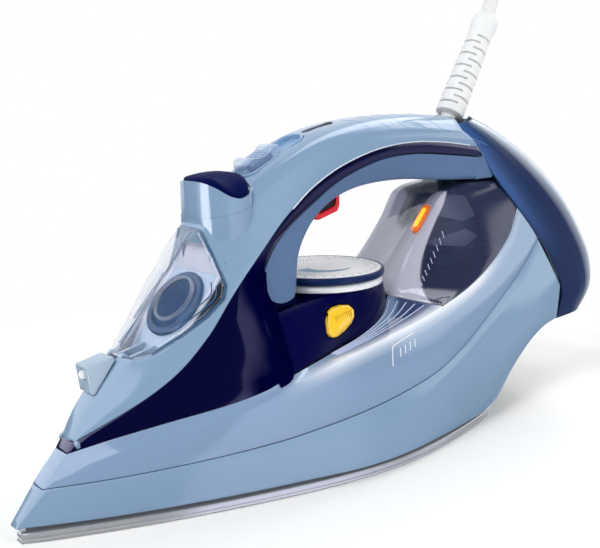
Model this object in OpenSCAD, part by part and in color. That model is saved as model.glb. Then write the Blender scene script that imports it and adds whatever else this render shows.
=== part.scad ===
// Steam iron with a water tank, a filler door, a spray button and a mains cord.
// The soleplate lies on z = 0, the nose points to -X and the heel to +X.

/* [Body] */
// Overall length, nose to heel
body_l = 336; // [300:1:370]
// Overall width across the soleplate
body_w = 117; // [104:1:130]
// Height of the handle's top
body_h = 159; // [145:1:175]
// Wall of the moulded shells
wall = 2.2; // [1.6:0.1:3]
// Gap at the joints between two shells
seam = 0.3; // [0.2:0.05:0.6]

/* [Soleplate] */
// Thickness of the polished plate
sole_t = 4.6; // [3.5:0.1:7]
// Depth of the groove around the rim
rim_groove = 0.8; // [0.4:0.1:1.5]
// Diameter of a steam vent
vent_d = 3.6; // [2:0.2:5]
// Height of the cast body above the plate
casting_t = 7.5; // [5:0.5:9]
// Diameter of the heating element's tube
element_d = 7; // [5:0.5:8]

/* [Temperature dial] */
// Diameter of the dial
dial_d = 62; // [52:1:64]
// Height of the dial's rim
dial_t = 3.6; // [3:0.2:6]
// Height of the bright ring under the dial
bezel_t = 3.4; // [2:0.2:5]
// Diameter of the dial's shaft
shaft_d = 8; // [6:0.5:10]
// How far the dial turns, degrees
dial_turn = 270; // [180:10:300]

/* [Buttons] */
// Travel of the spray button
spray_travel = 3; // [2:0.5:4]
// Travel of the steam trigger
trigger_travel = 5; // [3:0.5:6]
// Travel of the calc-clean button
calc_travel = 2.5; // [1.5:0.5:3]
// Travel of the steam slider
slider_travel = 12; // [8:1:12]
// Running gap beside a button
button_gap = 0.4; // [0.3:0.05:0.6]

/* [Filler] */
// Outside diameter of the filling cup
cup_d = 29; // [24:0.5:30]
// Depth of the filling cup
cup_depth = 15; // [10:1:18]
// Wall of the filling cup
cup_wall = 1.6; // [1.2:0.1:2.5]
// Diameter of the door's hinge pin
door_pin_d = 1.6; // [1.2:0.1:2]
// How far the filler door opens, degrees
door_turn = 90; // [60:5:95]

/* [Cord] */
// Diameter of the mains cord
cord_d = 8; // [6:0.5:9]
// Diameter of the cord guard at its base
guard_d = 15.6; // [13:0.2:18]
// Length of the cord guard
guard_l = 62; // [50:1:75]
// How far the cord guard swings each way, degrees
guard_turn = 15; // [5:1:20]
// Mean diameter of the stored coil
coil_d = 86; // [80:1:100]

/* [Hidden] */
$fn = 48;

// The outline points below are written for this length, width and height.
ref_l = 336;
ref_w = 117;
ref_h = 159;
// Distance from the nose of the plate to the middle of the length
ref_mid = 166;
kx = body_l / ref_l;
ky = body_w / ref_w;
kz = body_h / ref_h;
function X(x) = (x - ref_mid) * kx;
function Y(y) = y * ky;
function Z(z) = z * kz;
function at(p) = [X(p[0]), Y(p[1]), Z(p[2])];
function outline(g) = [for (p = g) at(p)];

// Stations that the shells are drawn with for each point of a guide
steps = 2;

// ---- curves -------------------------------------------------------------
function through(a, b, c, d, t) =
    0.5 * (2 * b + (c - a) * t + (2 * a - 5 * b + 4 * c - d) * t * t
           + (3 * b - a - 3 * c + d) * t * t * t);
function smooth(g, n) =
    let (last = len(g) - 1)
    [for (i = [0 : last * n])
        let (k = min(floor(i / n), last - 1), t = i / n - k)
        through(g[max(k - 1, 0)], g[k], g[k + 1], g[min(k + 2, last)], t)];
function flip(p) = [p[0], -p[1], p[2]];
function mirrored(g) = [for (p = g) flip(p)];
function reversed(g) = [for (i = [len(g) - 1 : -1 : 0]) g[i]];
// From the far rear, around the nose, to the near rear
function around(g) = concat(reversed(mirrored(g)), g);
function blend(a, b, t, push) =
    [for (i = [0 : len(a) - 1])
        let (p = a[i] * (1 - t) + b[i] * t)
        [p[0], p[1] * (1 + push * 4 * t * (1 - t)), p[2]]];
function unit(v) = norm(v) < 0.000001 ? [0, 0, 0] : v / norm(v);

// ---- shells -------------------------------------------------------------
function facing(g, j, i) =
    let (m = len(g) - 1, n = len(g[0]) - 1,
         du = g[j][min(i + 1, n)] - g[j][max(i - 1, 0)],
         dv = g[min(j + 1, m)][i] - g[max(j - 1, 0)][i])
    unit(cross(du, dv));
// Level and square to the edge, so that two stacked shells part on one common face
function edge_facing(g, j, i) =
    let (n = len(g[0]) - 1,
         du = g[j][min(i + 1, n)] - g[j][max(i - 1, 0)],
         side = unit([du[1], -du[0], 0]))
    side * facing(g, j, i) < 0 ? -side : side;
function inset(g, d) =
    let (last = len(g) - 1)
    [for (j = [0 : last])
        [for (i = [0 : len(g[0]) - 1])
            g[j][i] - (j == 0 || j == last ? d * edge_facing(g, j, i) : d * facing(g, j, i))]];
// Takes half a seam off the first and the last row, along the face
function pulled(g, low, high) =
    let (last = len(g) - 1)
    [for (j = [0 : last])
        [for (i = [0 : len(g[0]) - 1])
            j == 0 ? g[0][i] + low * unit(g[1][i] - g[0][i])
            : j == last ? g[last][i] + high * unit(g[last - 1][i] - g[last][i])
            : g[j][i]]];
function flat_list(g) = [for (row = g) for (p = row) p];

// A skin between an outer and an inner grid of points, closed at its edges
module skin(outer, inner) {
    m = len(outer);
    n = len(outer[0]);
    b = m * n;
    function o(j, i) = j * n + i;
    function q(j, i) = b + j * n + i;
    faces = concat(
        [for (j = [0 : m - 2]) for (i = [0 : n - 2])
            each [[o(j, i), o(j + 1, i), o(j + 1, i + 1)],
                  [o(j, i), o(j + 1, i + 1), o(j, i + 1)],
                  [q(j, i), q(j + 1, i + 1), q(j + 1, i)],
                  [q(j, i), q(j, i + 1), q(j + 1, i + 1)]]],
        [for (i = [0 : n - 2])
            each [[o(0, i), o(0, i + 1), q(0, i + 1)],
                  [o(0, i), q(0, i + 1), q(0, i)],
                  [o(m - 1, i), q(m - 1, i + 1), o(m - 1, i + 1)],
                  [o(m - 1, i), q(m - 1, i), q(m - 1, i + 1)]]],
        [for (j = [0 : m - 2])
            each [[o(j, 0), q(j, 0), q(j + 1, 0)],
                  [o(j, 0), q(j + 1, 0), o(j + 1, 0)],
                  [o(j, n - 1), q(j + 1, n - 1), q(j, n - 1)],
                  [o(j, n - 1), o(j + 1, n - 1), q(j + 1, n - 1)]]]);
    polyhedron(points = concat(flat_list(outer), flat_list(inner)), faces = faces);
}

// A moulded shell whose outer face is the grid, less half a seam at its two long edges
module moulding(grid, t = wall, low = seam / 2, high = seam / 2) {
    g = pulled(grid, low, high);
    skin(g, inset(g, t));
}

// Keeps a cut shell as one moulded skin
module moulded() {
    resize([0, 0, 0]) children();
}

// A solid through closed rings of points, with flat ends
module lofted(rings) {
    n = len(rings[0]);
    m = len(rings);
    points = flat_list(rings);
    faces = concat(
        [for (j = [0 : m - 2]) for (i = [0 : n - 1])
            let (k = (i + 1) % n)
            each [[j * n + i, j * n + k, (j + 1) * n + k],
                  [j * n + i, (j + 1) * n + k, (j + 1) * n + i]]],
        [[for (i = [n - 1 : -1 : 0]) i]],
        [[for (i = [0 : n - 1]) (m - 1) * n + i]]);
    polyhedron(points = points, faces = faces);
}

// ---- guides, near side, nose to heel -------------------------------------
sole_edge = [[0, -1.6], [5, -5], [18, -11.6], [36, -20], [64, -31.5], [102, -44.5],
             [132, -52.5], [158, -56.4], [185, -56], [210, -52.6], [232, -48.2],
             [246, -43], [254, -34], [256.5, -18]];

shell_foot = outline([[-2, -2.6, 7.6], [24, -15.5, 7], [48, -26.5, 7], [72, -36, 7],
    [92, -43, 7], [108, -48, 7], [134, -55.8, 7], [160, -58.5, 7], [190, -56.5, 7],
    [212, -53.5, 7], [230, -50.8, 7.4], [244, -49, 11], [259, -47.6, 23], [274, -46.8, 33],
    [289, -46, 39.5], [304.6, -45, 42]]);
shell_crease = outline([[4, -3.4, 14.5], [27, -16.8, 15], [50, -27.8, 16], [74, -37.2, 17],
    [93, -43.8, 18], [108, -48.4, 18.6], [134, -55.2, 19.4], [160, -57.2, 20],
    [190, -55.4, 20.6], [213, -52.6, 22], [232, -50.4, 25], [247, -48.8, 31],
    [262, -47.6, 39], [277, -46.6, 47], [292, -45.4, 54], [309.6, -43.6, 60]]);
tank_foot = outline([[9.5, -4.2, 21], [30, -17, 22.5], [52, -28, 24], [76, -37.2, 25.4],
    [94, -42.8, 26.6], [108, -46.8, 28], [134, -51.8, 30.8], [160, -53.2, 33.6],
    [190, -51.6, 37.6], [213, -48.8, 44], [228, -46.8, 50.2], [242, -44.8, 56.6],
    [256, -42.6, 63.2], [271, -40.2, 70.4], [285, -37.8, 78.4], [298.4, -35, 87.5]]);
tank_shoulder = outline([[15, -4.4, 27], [33, -16, 31], [54, -26.6, 35.6], [76, -36.4, 40.4],
    [93, -42.2, 45.6], [107, -45.4, 50.6], [131, -48.2, 56.4], [158, -47.6, 60],
    [186, -45.6, 63.6], [204, -44, 66.4], [218, -42.6, 69.2], [232, -40.8, 72.8],
    [247, -38.4, 78], [262, -35.6, 85], [276, -32.4, 93.6], [288, -28, 105]]);
tank_brow = outline([[20.5, -4.6, 32.5], [37, -14, 37], [56, -24.4, 41.4], [76, -33.4, 45],
    [92, -39.4, 48.6], [104.5, -42, 52.6], [129, -40, 56.6], [156, -34, 59],
    [176, -28.4, 63.6], [190, -20, 70.4], [201, -16.5, 79], [213, -15.5, 91],
    [225, -16, 104], [236, -17, 116.5], [255, -18, 120.5], [277, -19, 120.5]]);

panel_foot = outline([[20.5, -4.6, 32.5], [37, -14, 37], [56, -24.4, 41.4], [76, -33.4, 45],
    [92, -39.4, 48.6], [104.5, -42, 52.6], [108, -34.5, 64], [110, -26.5, 76],
    [105.5, -24.5, 90], [113, -23, 103], [124, -21.8, 112], [140, -20.8, 121.5],
    [160, -20.2, 131], [186, -20, 138], [211, -20, 139.5], [238, -20.4, 137.5],
    [265.5, -20.6, 134.5]]);
panel_brow = outline([[23.5, -4.9, 36.5], [35, -11.4, 43], [51, -18.6, 52], [65, -22, 61],
    [78, -23.8, 73], [88, -24.4, 85], [96, -24.4, 93.5], [104.5, -24, 101.5],
    [110, -23.6, 106.5], [118, -22.8, 113.5], [127, -21.8, 120], [141, -20.9, 129],
    [160, -20.2, 137], [184, -20, 143], [209, -20, 145], [235, -20.4, 143.5],
    [261, -20.4, 140]]);

ridge_edge = outline([[23.8, -4.7, 37], [29.5, -5, 46.5], [38.6, -5.2, 57], [47.6, -5.4, 67],
    [58, -5.7, 80], [67.4, -6, 93], [73, -6.2, 99], [77, -6.4, 104.5], [82, -7, 109.5],
    [90, -9.5, 115], [100, -13, 121.6], [114, -15.2, 128.8], [132, -16.6, 138],
    [156, -17.2, 147], [184, -17.6, 151.4], [216, -17.8, 152.2], [250, -18.4, 149.4]]);
ridge_top = outline([[23, -1.6, 36.8], [29, -1.8, 46.5], [38, -2, 57], [47, -2.2, 67],
    [57.2, -2.4, 80.2], [66.6, -2.6, 93.4], [72.2, -2.8, 99.6], [76.2, -3, 105.2],
    [81, -3.6, 110.8], [89, -5, 117], [99, -7, 124.4], [113, -8.6, 132.8],
    [131, -9.6, 142.4], [155, -10, 151.6], [184, -10.2, 156.6], [216, -10.4, 157.8],
    [250, -10.6, 156.2]]);

grip_brow = outline([[111, -24.6, 79.5], [106.5, -24, 90], [114, -22.7, 103], [125, -21.4, 112],
    [141, -20.4, 121], [160, -19.8, 130.4], [186, -19.6, 137.4], [211, -19.6, 139],
    [238, -20, 137], [265.5, -20.2, 134]]);
grip_edge = outline([[127, -22.6, 79.5], [128.5, -21.6, 90], [132, -20, 101], [141, -18, 111.6],
    [153, -16, 119], [168, -14.6, 124], [188, -13.8, 126.6], [211, -14.4, 126.8],
    [236, -16.8, 124.6], [266, -17.4, 122.6]]);
grip_keel = outline([[129.5, -8, 79.5], [131, -8, 90], [134.4, -8, 100.6], [143, -7, 110.6],
    [154.6, -6, 117.8], [168.6, -5, 122.8], [188, -5, 125.6], [211, -5, 126],
    [236, -6, 123.8], [266, -6, 122.2]]);

hump_foot = outline([[105.6, -41.6, 53.2], [116, -41.3, 55], [129, -39.6, 57], [143, -36.4, 58.4],
    [156, -34, 59.4], [168, -31.4, 61.6], [177, -28, 64.6], [186, -22.6, 69],
    [191, -15, 72.6], [195, -6, 75.6]]);
heel_front = outline([[306, -44, 41.4], [311.5, -43.6, 57], [307, -40, 73], [298.5, -34.6, 90],
    [287.5, -27.4, 107], [276.5, -20.8, 123.5], [263, -18.6, 140], [251.6, -14, 152.4]]);
heel_corner = outline([[324, -46.6, 45], [329, -49.4, 58], [327.5, -48.6, 74], [320.5, -45, 92],
    [309.5, -38.4, 112], [294.5, -29, 131.4], [279, -20.4, 145.4], [266, -13, 154]]);
heel_back = outline([[330, -20, 46], [334, -21, 59], [332, -21, 76], [325, -20, 95],
    [313.6, -17, 116], [298, -13, 136], [282, -9, 149.6], [270, -6, 156]]);

// ---- grids ---------------------------------------------------------------
function rib(g) = smooth(g, steps);
function lower_grid() =
    let (a = around(rib(shell_foot)), b = around(rib(shell_crease)), c = around(rib(tank_foot)))
    [a, blend(a, b, 0.5, 0.004), b, blend(b, c, 0.5, 0.012), c];
function tank_grid() =
    let (a = around(rib(tank_foot)), b = around(rib(tank_shoulder)))
    [a, blend(a, b, 0.35, 0.02), blend(a, b, 0.7, 0.02), b];
deck_end = 9;
// The deck stands on a hem inside the top of the tank's side
hem_in = 1;
hem_h = 1.1;
function deck_grid() =
    let (edge = around(rib([for (i = [0 : deck_end]) tank_shoulder[i]])),
         b = around(rib([for (i = [0 : deck_end]) tank_brow[i]])),
         a = [for (i = [0 : len(edge) - 1]) edge[i] - hem_in * edge_facing([edge, b], 0, i)],
         hem = [for (p = a) p - [0, 0, hem_h]])
    [hem, a, blend(a, b, 0.5, -0.015), b];

// Starts a shell a little late, for a seam beside the shell in front of it
function trimmed(g) =
    [for (i = [0 : len(g) - 1]) i > 0 ? g[i] : g[0] + 2 * seam * unit(g[1] - g[0])];
function over(near) = concat(near, reversed([for (g = near) mirrored(g)]));
function housing_grid() =
    let (a = rib(panel_brow), b = rib(ridge_edge), c = rib(ridge_top))
    over([a, blend(a, b, 0.33, 0.06), blend(a, b, 0.67, 0.06), b, c]);
function grip_grid() =
    let (a = rib(grip_brow), b = rib(grip_edge), c = rib(grip_keel))
    reversed(over([a, blend(a, b, 0.5, 0.02), b, c]));
function panel_grid() =
    let (a = around(rib(panel_foot)), b = around(rib(panel_brow)))
    [a, blend(a, b, 0.5, 0.02), b];
function window_grid() =
    let (a = trimmed(rib([for (i = [deck_end : len(tank_shoulder) - 1]) tank_shoulder[i]])),
         b = trimmed(rib([for (i = [deck_end : len(tank_brow) - 1]) tank_brow[i]])),
         c = [for (p = b) [p[0] + Y(4), p[1] * 0.4, p[2]]])
    over([a, blend(a, b, 0.4, 0.03), blend(a, b, 0.8, 0.03), b, c]);
function heel_grid() =
    let (f = rib(heel_front), c = rib(heel_corner), b = rib(heel_back))
    [for (j = [0 : len(f) - 1])
        let (near = smooth([f[j], c[j], b[j]], 3))
        concat(near, reversed(mirrored(near)))];

// ---- flat outlines ---------------------------------------------------------
plate_points = let (g = smooth([for (p = sole_edge) [X(p[0]), Y(p[1]), 0]], 4))
    [for (p = around(g)) [p[0], p[1]]];
module plate(inset_by = 0) {
    offset(delta = -inset_by) polygon(plate_points);
}
// A side outline in X and Z, given its thickness along Y
module side_block(half_w) {
    rotate([90, 0, 0]) linear_extrude(height = 2 * half_w, center = true) children();
}
module side_outline(points) {
    polygon([for (p = points) [X(p[0]), Z(p[1])]]);
}
module rounded(r) {
    offset(r = r) offset(delta = -r) children();
}
module tube(h, r, bore) {
    difference() {
        cylinder(h = h, r = r);
        translate([0, 0, -1]) cylinder(h = h + 2, r = bore);
    }
}

// ---- soleplate and heater --------------------------------------------------
casting_top = sole_t + casting_t;
casting_inset = 9;
cover_t = 1.6;
element_bend = Y(24);
element_x = X(104);
element_leg = X(214) - element_x;
element_z = casting_top + element_d / 2;
dial_x = X(164);
dial_top = Z(86.4);

module vent_holes() {
    for (k = [0 : 5]) for (side = [-1, 1])
        translate([X(58 + 27 * k), side * Y(14 + 4.6 * k)]) circle(d = vent_d);
    for (k = [0 : 8]) translate([X(30 + 14 * k), 0]) circle(d = vent_d);
    for (k = [0 : 3]) for (side = [-1, 1])
        translate([X(205 + 12 * k), side * Y(37 - 3 * k)]) circle(d = vent_d);
}
module soleplate() {
    rim_low = sole_t * 0.42;
    rim_high = rim_low + rim_groove;
    color("silver") {
        linear_extrude(height = 1) difference() { plate(1); vent_holes(); }
        translate([0, 0, 1]) linear_extrude(height = rim_low - 1) plate();
        translate([0, 0, rim_low]) linear_extrude(height = rim_high - rim_low) plate(rim_groove);
        translate([0, 0, rim_high]) linear_extrude(height = sole_t - rim_high) plate(0.3);
    }
}
post_d = 9;
post_places = [[X(58), 0], [X(232), Y(27)], [X(232), Y(-27)]];
screw_d = 4;
module soleplate_casting() {
    color("darkgray") difference() {
        translate([0, 0, sole_t]) linear_extrude(height = casting_t) plate(casting_inset);
        for (p = post_places)
            translate([p[0], p[1], sole_t + 1.5]) cylinder(h = casting_t, d = screw_d);
    }
}
module heating_element() {
    color("dimgray") translate([element_x, 0, element_z]) {
        rotate([0, 0, 90]) rotate_extrude(angle = 180)
            translate([element_bend, 0]) circle(d = element_d);
        for (side = [-1, 1]) translate([0, side * element_bend, 0]) {
            rotate([0, 90, 0]) cylinder(h = element_leg, d = element_d);
            translate([element_leg, 0, 0]) rotate([0, 90, 0]) cylinder(h = 8, d = 4);
        }
    }
}
chamber_gap = element_bend - element_d / 2 - 1;
chamber_from = X(96);
chamber_to = X(206);
module chamber_plate(less = 0) {
    translate([chamber_from + less, -chamber_gap + less])
        square([chamber_to - chamber_from - 2 * less, 2 * (chamber_gap - less)]);
}
module steam_chamber_cover() {
    color("gainsboro") translate([0, 0, casting_top])
        linear_extrude(height = cover_t) rounded(6) chamber_plate();
}
seal_t = 1;
seal_w = 2.5;
module chamber_seal() {
    color("tomato") translate([0, 0, casting_top + cover_t]) linear_extrude(height = seal_t)
        difference() {
            rounded(6) chamber_plate();
            rounded(4) chamber_plate(seal_w);
        }
}
thermostat_d = 20;
thermostat_h = 7;
neck_d = 9;
neck_top = casting_top + cover_t + thermostat_h + 3;
module thermostat() {
    color("tan") translate([dial_x, 0, casting_top + cover_t]) {
        cylinder(h = thermostat_h, d = thermostat_d);
        cylinder(h = thermostat_h + 3, d = neck_d);
    }
}
fuse_d = 5;
module thermal_fuse() {
    color("ivory") translate([X(118), 0, casting_top + cover_t + fuse_d / 2])
        rotate([0, 90, 0]) cylinder(h = 20, d = fuse_d);
}
shield_inset = 3.2;
shield_wall = 2;
shield_top = 11.5;
module heat_shield() {
    color("dimgray") translate([0, 0, sole_t]) linear_extrude(height = shield_top - sole_t)
        difference() {
            plate(shield_inset);
            plate(shield_inset + shield_wall);
        }
}
floor_z = Z(27);
floor_t = 2.4;
module mounting_posts() {
    color("gray") for (p = post_places)
        translate([p[0], p[1], casting_top]) tube(floor_z - casting_top, post_d / 2, screw_d / 2 + 0.2);
}
screw_head_d = 7.5;
module screws() {
    color("silver") for (p = post_places) translate([p[0], p[1], sole_t + 2]) {
        cylinder(h = floor_z + floor_t - sole_t - 2, d = screw_d - 0.2);
        translate([0, 0, floor_z + floor_t - sole_t - 2]) cylinder(h = 2.4, d = screw_head_d);
    }
}

// ---- body shells -----------------------------------------------------------
module lower_shell() {
    color("lightsteelblue") moulding(lower_grid());
}
base_cover_points = [[247, 13.4], [259, 23.6], [274, 33.4], [289, 39.9], [304, 42.4]];
module rear_base_cover() {
    half = Y(44.6) - wall - 2 * seam;
    low = smooth([for (p = base_cover_points) [X(p[0]), Z(p[1])]], 3);
    color("slategray") side_block(half)
        polygon(concat(low, [for (p = reversed(low)) [p[0] - 1, p[1] + wall]]));
}
module water_tank() {
    color([0.45, 0.6, 0.85, 0.7]) moulded() {
        moulding(tank_grid());
        moulding(deck_grid(), low = 0, high = seam);
    }
}
floor_stations = [2 : 9];
module tank_floor() {
    edge = [for (k = floor_stations)
        let (a = shell_crease[k], b = tank_foot[k],
             t = (floor_z + floor_t / 2 - a[2]) / max(b[2] - a[2], 1),
             p = a * (1 - t) + b * t)
        [p[0], p[1] + wall + 2 * seam, 0]];
    points = [for (p = around(smooth(edge, 3))) [p[0], p[1]]];
    color("lightslategray") translate([0, 0, floor_z]) linear_extrude(height = floor_t)
        difference() {
            polygon(points);
            translate([dial_x, 0]) circle(d = neck_d + 4);
            for (p = post_places) translate(p) circle(d = screw_d + 0.4);
        }
}

// ---- rear window and what shows through it -----------------------------------
lens_l = 17;
lens_w = 5;
lens_lean = 48;
lens_at = at([225.4, -11.2, 104.6]);
module lens_shape(gap = 0) {
    translate(lens_at) rotate([0, -lens_lean, 0]) translate([0, 0, -3 - gap])
        linear_extrude(height = 4 + 2 * gap)
            offset(r = lens_w / 2 + gap) square([lens_l - lens_w, 0.01], center = true);
}
module rear_window() {
    color([0.75, 0.82, 0.95, 0.35]) moulded() difference() {
        moulding(window_grid(), low = seam, high = seam);
        lens_shape(seam);
    }
}
module indicator_lens() {
    color("orange") lens_shape();
}
frame_low_half = Y(22);
frame_high_half = Y(9);
frame_foot = floor_z + floor_t;
module inner_frame() {
    color([0.16, 0.14, 0.18]) {
        side_block(frame_low_half)
            polygon([[X(190), frame_foot], [X(250), frame_foot], [X(262), Z(36)],
                     [X(278), Z(46)], [X(290), Z(56)], [X(284), Z(64)], [X(196), Z(56)]]);
        side_block(frame_high_half)
            side_outline([[216, 57], [304, 58], [304, 66], [285, 66], [288, 78], [276, 98],
                          [262, 113], [247, 115], [236, 104], [225, 88]]);
    }
}
board_t = 1.6;
module control_board() {
    color("seagreen") translate([X(240), -frame_high_half - board_t, Z(76)])
        cube([X(272) - X(240), board_t, Z(100) - Z(76)]);
}
block_l = 12;
block_h = 14;
module terminal_block() {
    color("ivory") translate([X(304) - block_l, -frame_high_half, Z(66)])
        cube([block_l, 2 * frame_high_half, block_h]);
}

// ---- navy panel and dial -------------------------------------------------------
module navy_side_panel() {
    color([0.04, 0.04, 0.28]) moulding(panel_grid());
}
rim_z = dial_top - dial_t;
bezel_z = rim_z - seam - bezel_t;
hump_top = bezel_z;
hump_r = dial_d / 2 - 1;
hump_plate_t = 2.4;
shaft_gap = 0.05;
function hump_rim(a) = [dial_x - hump_r * cos(a), -hump_r * sin(a), hump_top];
hump_brow = concat(outline([[111, -26.4, 76], [119, -25.8, 77.2], [128, -25.4, 78]]),
    [for (a = [58, 72, 88, 104, 122, 142, 161]) hump_rim(a)]);
function closed_behind(g) = concat(g, reversed(mirrored(g)));
function hump_grid() =
    let (a = rib(hump_foot), b = rib(hump_brow))
    [for (g = [a, blend(a, b, 0.5, 0.03), b]) closed_behind(g)];

calc_at = at([150.5, -35, 66.6]);
calc_lean = 21;
module calc_outline() {
    rounded(2) side_outline([[144, 73.4], [150, 75.6], [157, 72.4], [158.4, 67.4],
                             [153.6, 62], [147.6, 59.4], [144.6, 64.4]]);
}
calc_inner = 8.5;
calc_stem_d = 4;
module calc_shape(gap = 0, deeper = 0) {
    translate([0, calc_at[1] + calc_inner + deeper, 0]) rotate([90, 0, 0])
        linear_extrude(height = 2.5 * calc_inner + deeper) offset(r = gap) calc_outline();
}
module dial_base() {
    color([0.05, 0.05, 0.3]) {
        moulded() difference() {
            moulding(hump_grid());
            calc_shape(button_gap, calc_travel + 1);
        }
        translate([dial_x, 0, hump_top - hump_plate_t])
            tube(hump_plate_t - seam, hump_r - wall - 1.2, shaft_d / 2 + shaft_gap);
    }
}
module calc_clean_button() {
    color("gold") {
        difference() {
            calc_shape();
            translate(calc_at) rotate([-calc_lean, 0, 0]) translate([-20, -30, -30])
                cube([40, 30, 60]);
        }
        translate([calc_at[0], calc_at[1] + calc_inner, calc_at[2]])
            rotate([-90, 0, 0]) cylinder(h = 8, d = calc_stem_d);
    }
}
valve_back = calc_at[1] + calc_inner + calc_travel + 1;
module calc_valve() {
    color("lightgray") difference() {
        translate([calc_at[0] - 5, valve_back, frame_foot]) cube([10, 9, calc_at[2] + 5 - frame_foot]);
        translate([calc_at[0], valve_back - 1, calc_at[2]])
            rotate([-90, 0, 0]) cylinder(h = 11, d = calc_stem_d + 0.8);
    }
}
bezel_w = 5;
module dial_bezel() {
    color("whitesmoke") translate([dial_x, 0, bezel_z]) tube(bezel_t, hump_r, hump_r - bezel_w);
}
face_t = 1;
face_rim = 1.5;
module temperature_dial() {
    color("midnightblue") translate([dial_x, 0, 0]) {
        difference() {
            translate([0, 0, rim_z]) cylinder(h = dial_t, d = dial_d);
            translate([0, 0, dial_top - face_t]) cylinder(h = face_t + 1, d = dial_d - 2 * face_rim);
        }
        translate([0, 0, neck_top + seam]) cylinder(h = rim_z - neck_top - seam, d = shaft_d);
    }
}
module dial_face() {
    color("beige") translate([dial_x, 0, dial_top - face_t])
        cylinder(h = face_t, d = dial_d - 2 * face_rim);
}

// ---- filler: door, hinge and cup ----------------------------------------------
door_foot = at([47, 0, 67]);
door_head = at([87, 0, 113]);
lean = atan2(door_head[2] - door_foot[2], door_head[0] - door_foot[0]);
knuckle_d = door_pin_d + 1.8;
hinge_in = knuckle_d / 2;
knuckle_half = 3;
ear_t = 1.8;
ear_gap = 0.3;
hinge_at = door_foot + hinge_in * [sin(lean), 0, -cos(lean)];
// Local X runs up the slope and local Z points out of it
module on_slope() {
    translate(door_foot) rotate([0, -lean, 0]) children();
}
module door_outline() {
    rounded(1) side_outline([[46.7, 66.6], [51, 65.6], [57, 66.8], [69, 73.4], [79, 79.8],
        [87, 86.6], [89.4, 91.6], [88.8, 103], [87.4, 113.4], [76, 123], [33, 78.4]]);
}
module filler_door() {
    color([0.75, 0.85, 0.95, 0.5]) {
        moulded() difference() {
            intersection() {
                moulding(housing_grid(), wall - 0.2);
                side_block(Y(40)) door_outline();
            }
            for (turn = [90, -90]) translate(hinge_at) rotate([turn, 0, 0])
                translate([0, 0, knuckle_half]) cylinder(h = Y(20), d = knuckle_d + 3 * ear_gap, $fn = 24);
            translate(hinge_at) rotate([90, 0, 0]) cylinder(h = Y(20), d = knuckle_d - 1, center = true, $fn = 24);
        }
        translate(hinge_at) rotate([90, 0, 0]) translate([0, 0, -knuckle_half])
            tube(2 * knuckle_half, knuckle_d / 2, door_pin_d / 2 + shaft_gap);
    }
}
pin_half = knuckle_half + ear_gap + ear_t;
module door_pin() {
    color("silver") translate(hinge_at) rotate([90, 0, 0])
        cylinder(h = 2 * pin_half, d = door_pin_d, center = true);
}
cup_along = 32;
cup_in = 13.2;
cup_r = cup_d / 2;
flange_t = 1.6;
drain_r = 4;
module cup_flange() {
    offset(r = 2) polygon([[-22, -9], [-8, -11.6], [8, -13.2], [19, -13.2], [19, 13.2],
                           [8, 13.2], [-8, 11.6], [-22, 9]]);
}
module hinge_ear() {
    difference() {
        union() {
            hull() {
                circle(d = knuckle_d);
                translate([0, -knuckle_d]) circle(d = knuckle_d);
            }
            hull() {
                translate([0, -knuckle_d]) circle(d = knuckle_d);
                translate([10, hinge_in - cup_in + 0.4]) square([3, 0.8], center = true);
            }
        }
        circle(d = door_pin_d + 0.04);
    }
}
module filler_cup() {
    color("aliceblue") on_slope() {
        translate([cup_along, 0, -cup_in]) difference() {
            union() {
                translate([0, 0, -flange_t]) linear_extrude(height = flange_t) cup_flange();
                translate([0, 0, -cup_depth]) cylinder(h = cup_depth, r = cup_r);
                translate([0, 0, -cup_depth - 6]) cylinder(h = 7, r = drain_r);
            }
            translate([0, 0, cup_wall - cup_depth]) cylinder(h = cup_depth, r = cup_r - cup_wall);
            translate([0, 0, -cup_depth - 7]) cylinder(h = 10, r = drain_r - cup_wall);
        }
        for (side = [-1, 1])
            translate([0, side * (knuckle_half + ear_gap + ear_t / 2), -hinge_in])
                rotate([90, 0, 0]) linear_extrude(height = ear_t, center = true) hinge_ear();
    }
}
seal_ring = 1.4;
module filler_seal() {
    color("darkslategray") on_slope() translate([cup_along, 0, -cup_in])
        tube(seal_ring, cup_r, cup_r - seal_ring);
}

// ---- spray nozzle --------------------------------------------------------------
nozzle_half = 4.6;
nozzle_front = at([32.6, 0, 61.4]);
tip_d = 4;
module nozzle_housing() {
    color("lightsteelblue") difference() {
        side_block(nozzle_half) rounded(0.8)
            side_outline([[32, 65.4], [43.6, 67.2], [44.4, 65.8], [34.2, 53.4], [33.2, 54.2]]);
        translate([nozzle_front[0] - 3, 0, nozzle_front[2]]) rotate([0, 90, 0])
            cylinder(h = 6.5, d = tip_d + 0.1);
    }
}
module nozzle_tip() {
    color("white") translate([nozzle_front[0] - 1.6, 0, nozzle_front[2]]) rotate([0, 90, 0])
        tube(5, tip_d / 2, 0.6);
}

// ---- spray button on its collar ---------------------------------------------------
collar_wall = 1.2;
collar_foot = Z(108);
collar_edge = smooth([for (p = [[88, -4], [90, -10], [95, -15], [102, -17.2], [108, -16.6],
                                [111.5, -12], [112.6, -5]]) [X(p[0]), Y(p[1]), 0]], 3);
collar_plan = [for (p = around(collar_edge)) [p[0], p[1]]];
collar_line = [[84, 134.6], [88, 134.2], [92, 131.6], [97, 128], [102, 126.6], [107, 127.8],
               [112, 130.6], [118, 133]];
module collar_prism(less = 0) {
    translate([0, 0, collar_foot]) linear_extrude(height = Z(145) - collar_foot)
        offset(delta = -less) polygon(collar_plan);
}
module spray_collar() {
    color("lightsteelblue") intersection() {
        difference() {
            collar_prism();
            translate([0, 0, -1]) collar_prism(collar_wall);
            collar_prism(collar_wall);
        }
        side_block(Y(30)) polygon(concat([[X(84), collar_foot]],
            [for (p = collar_line) [X(p[0]), Z(p[1])]], [[X(118), collar_foot]]));
    }
}
spray_x = X(101);
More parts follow.
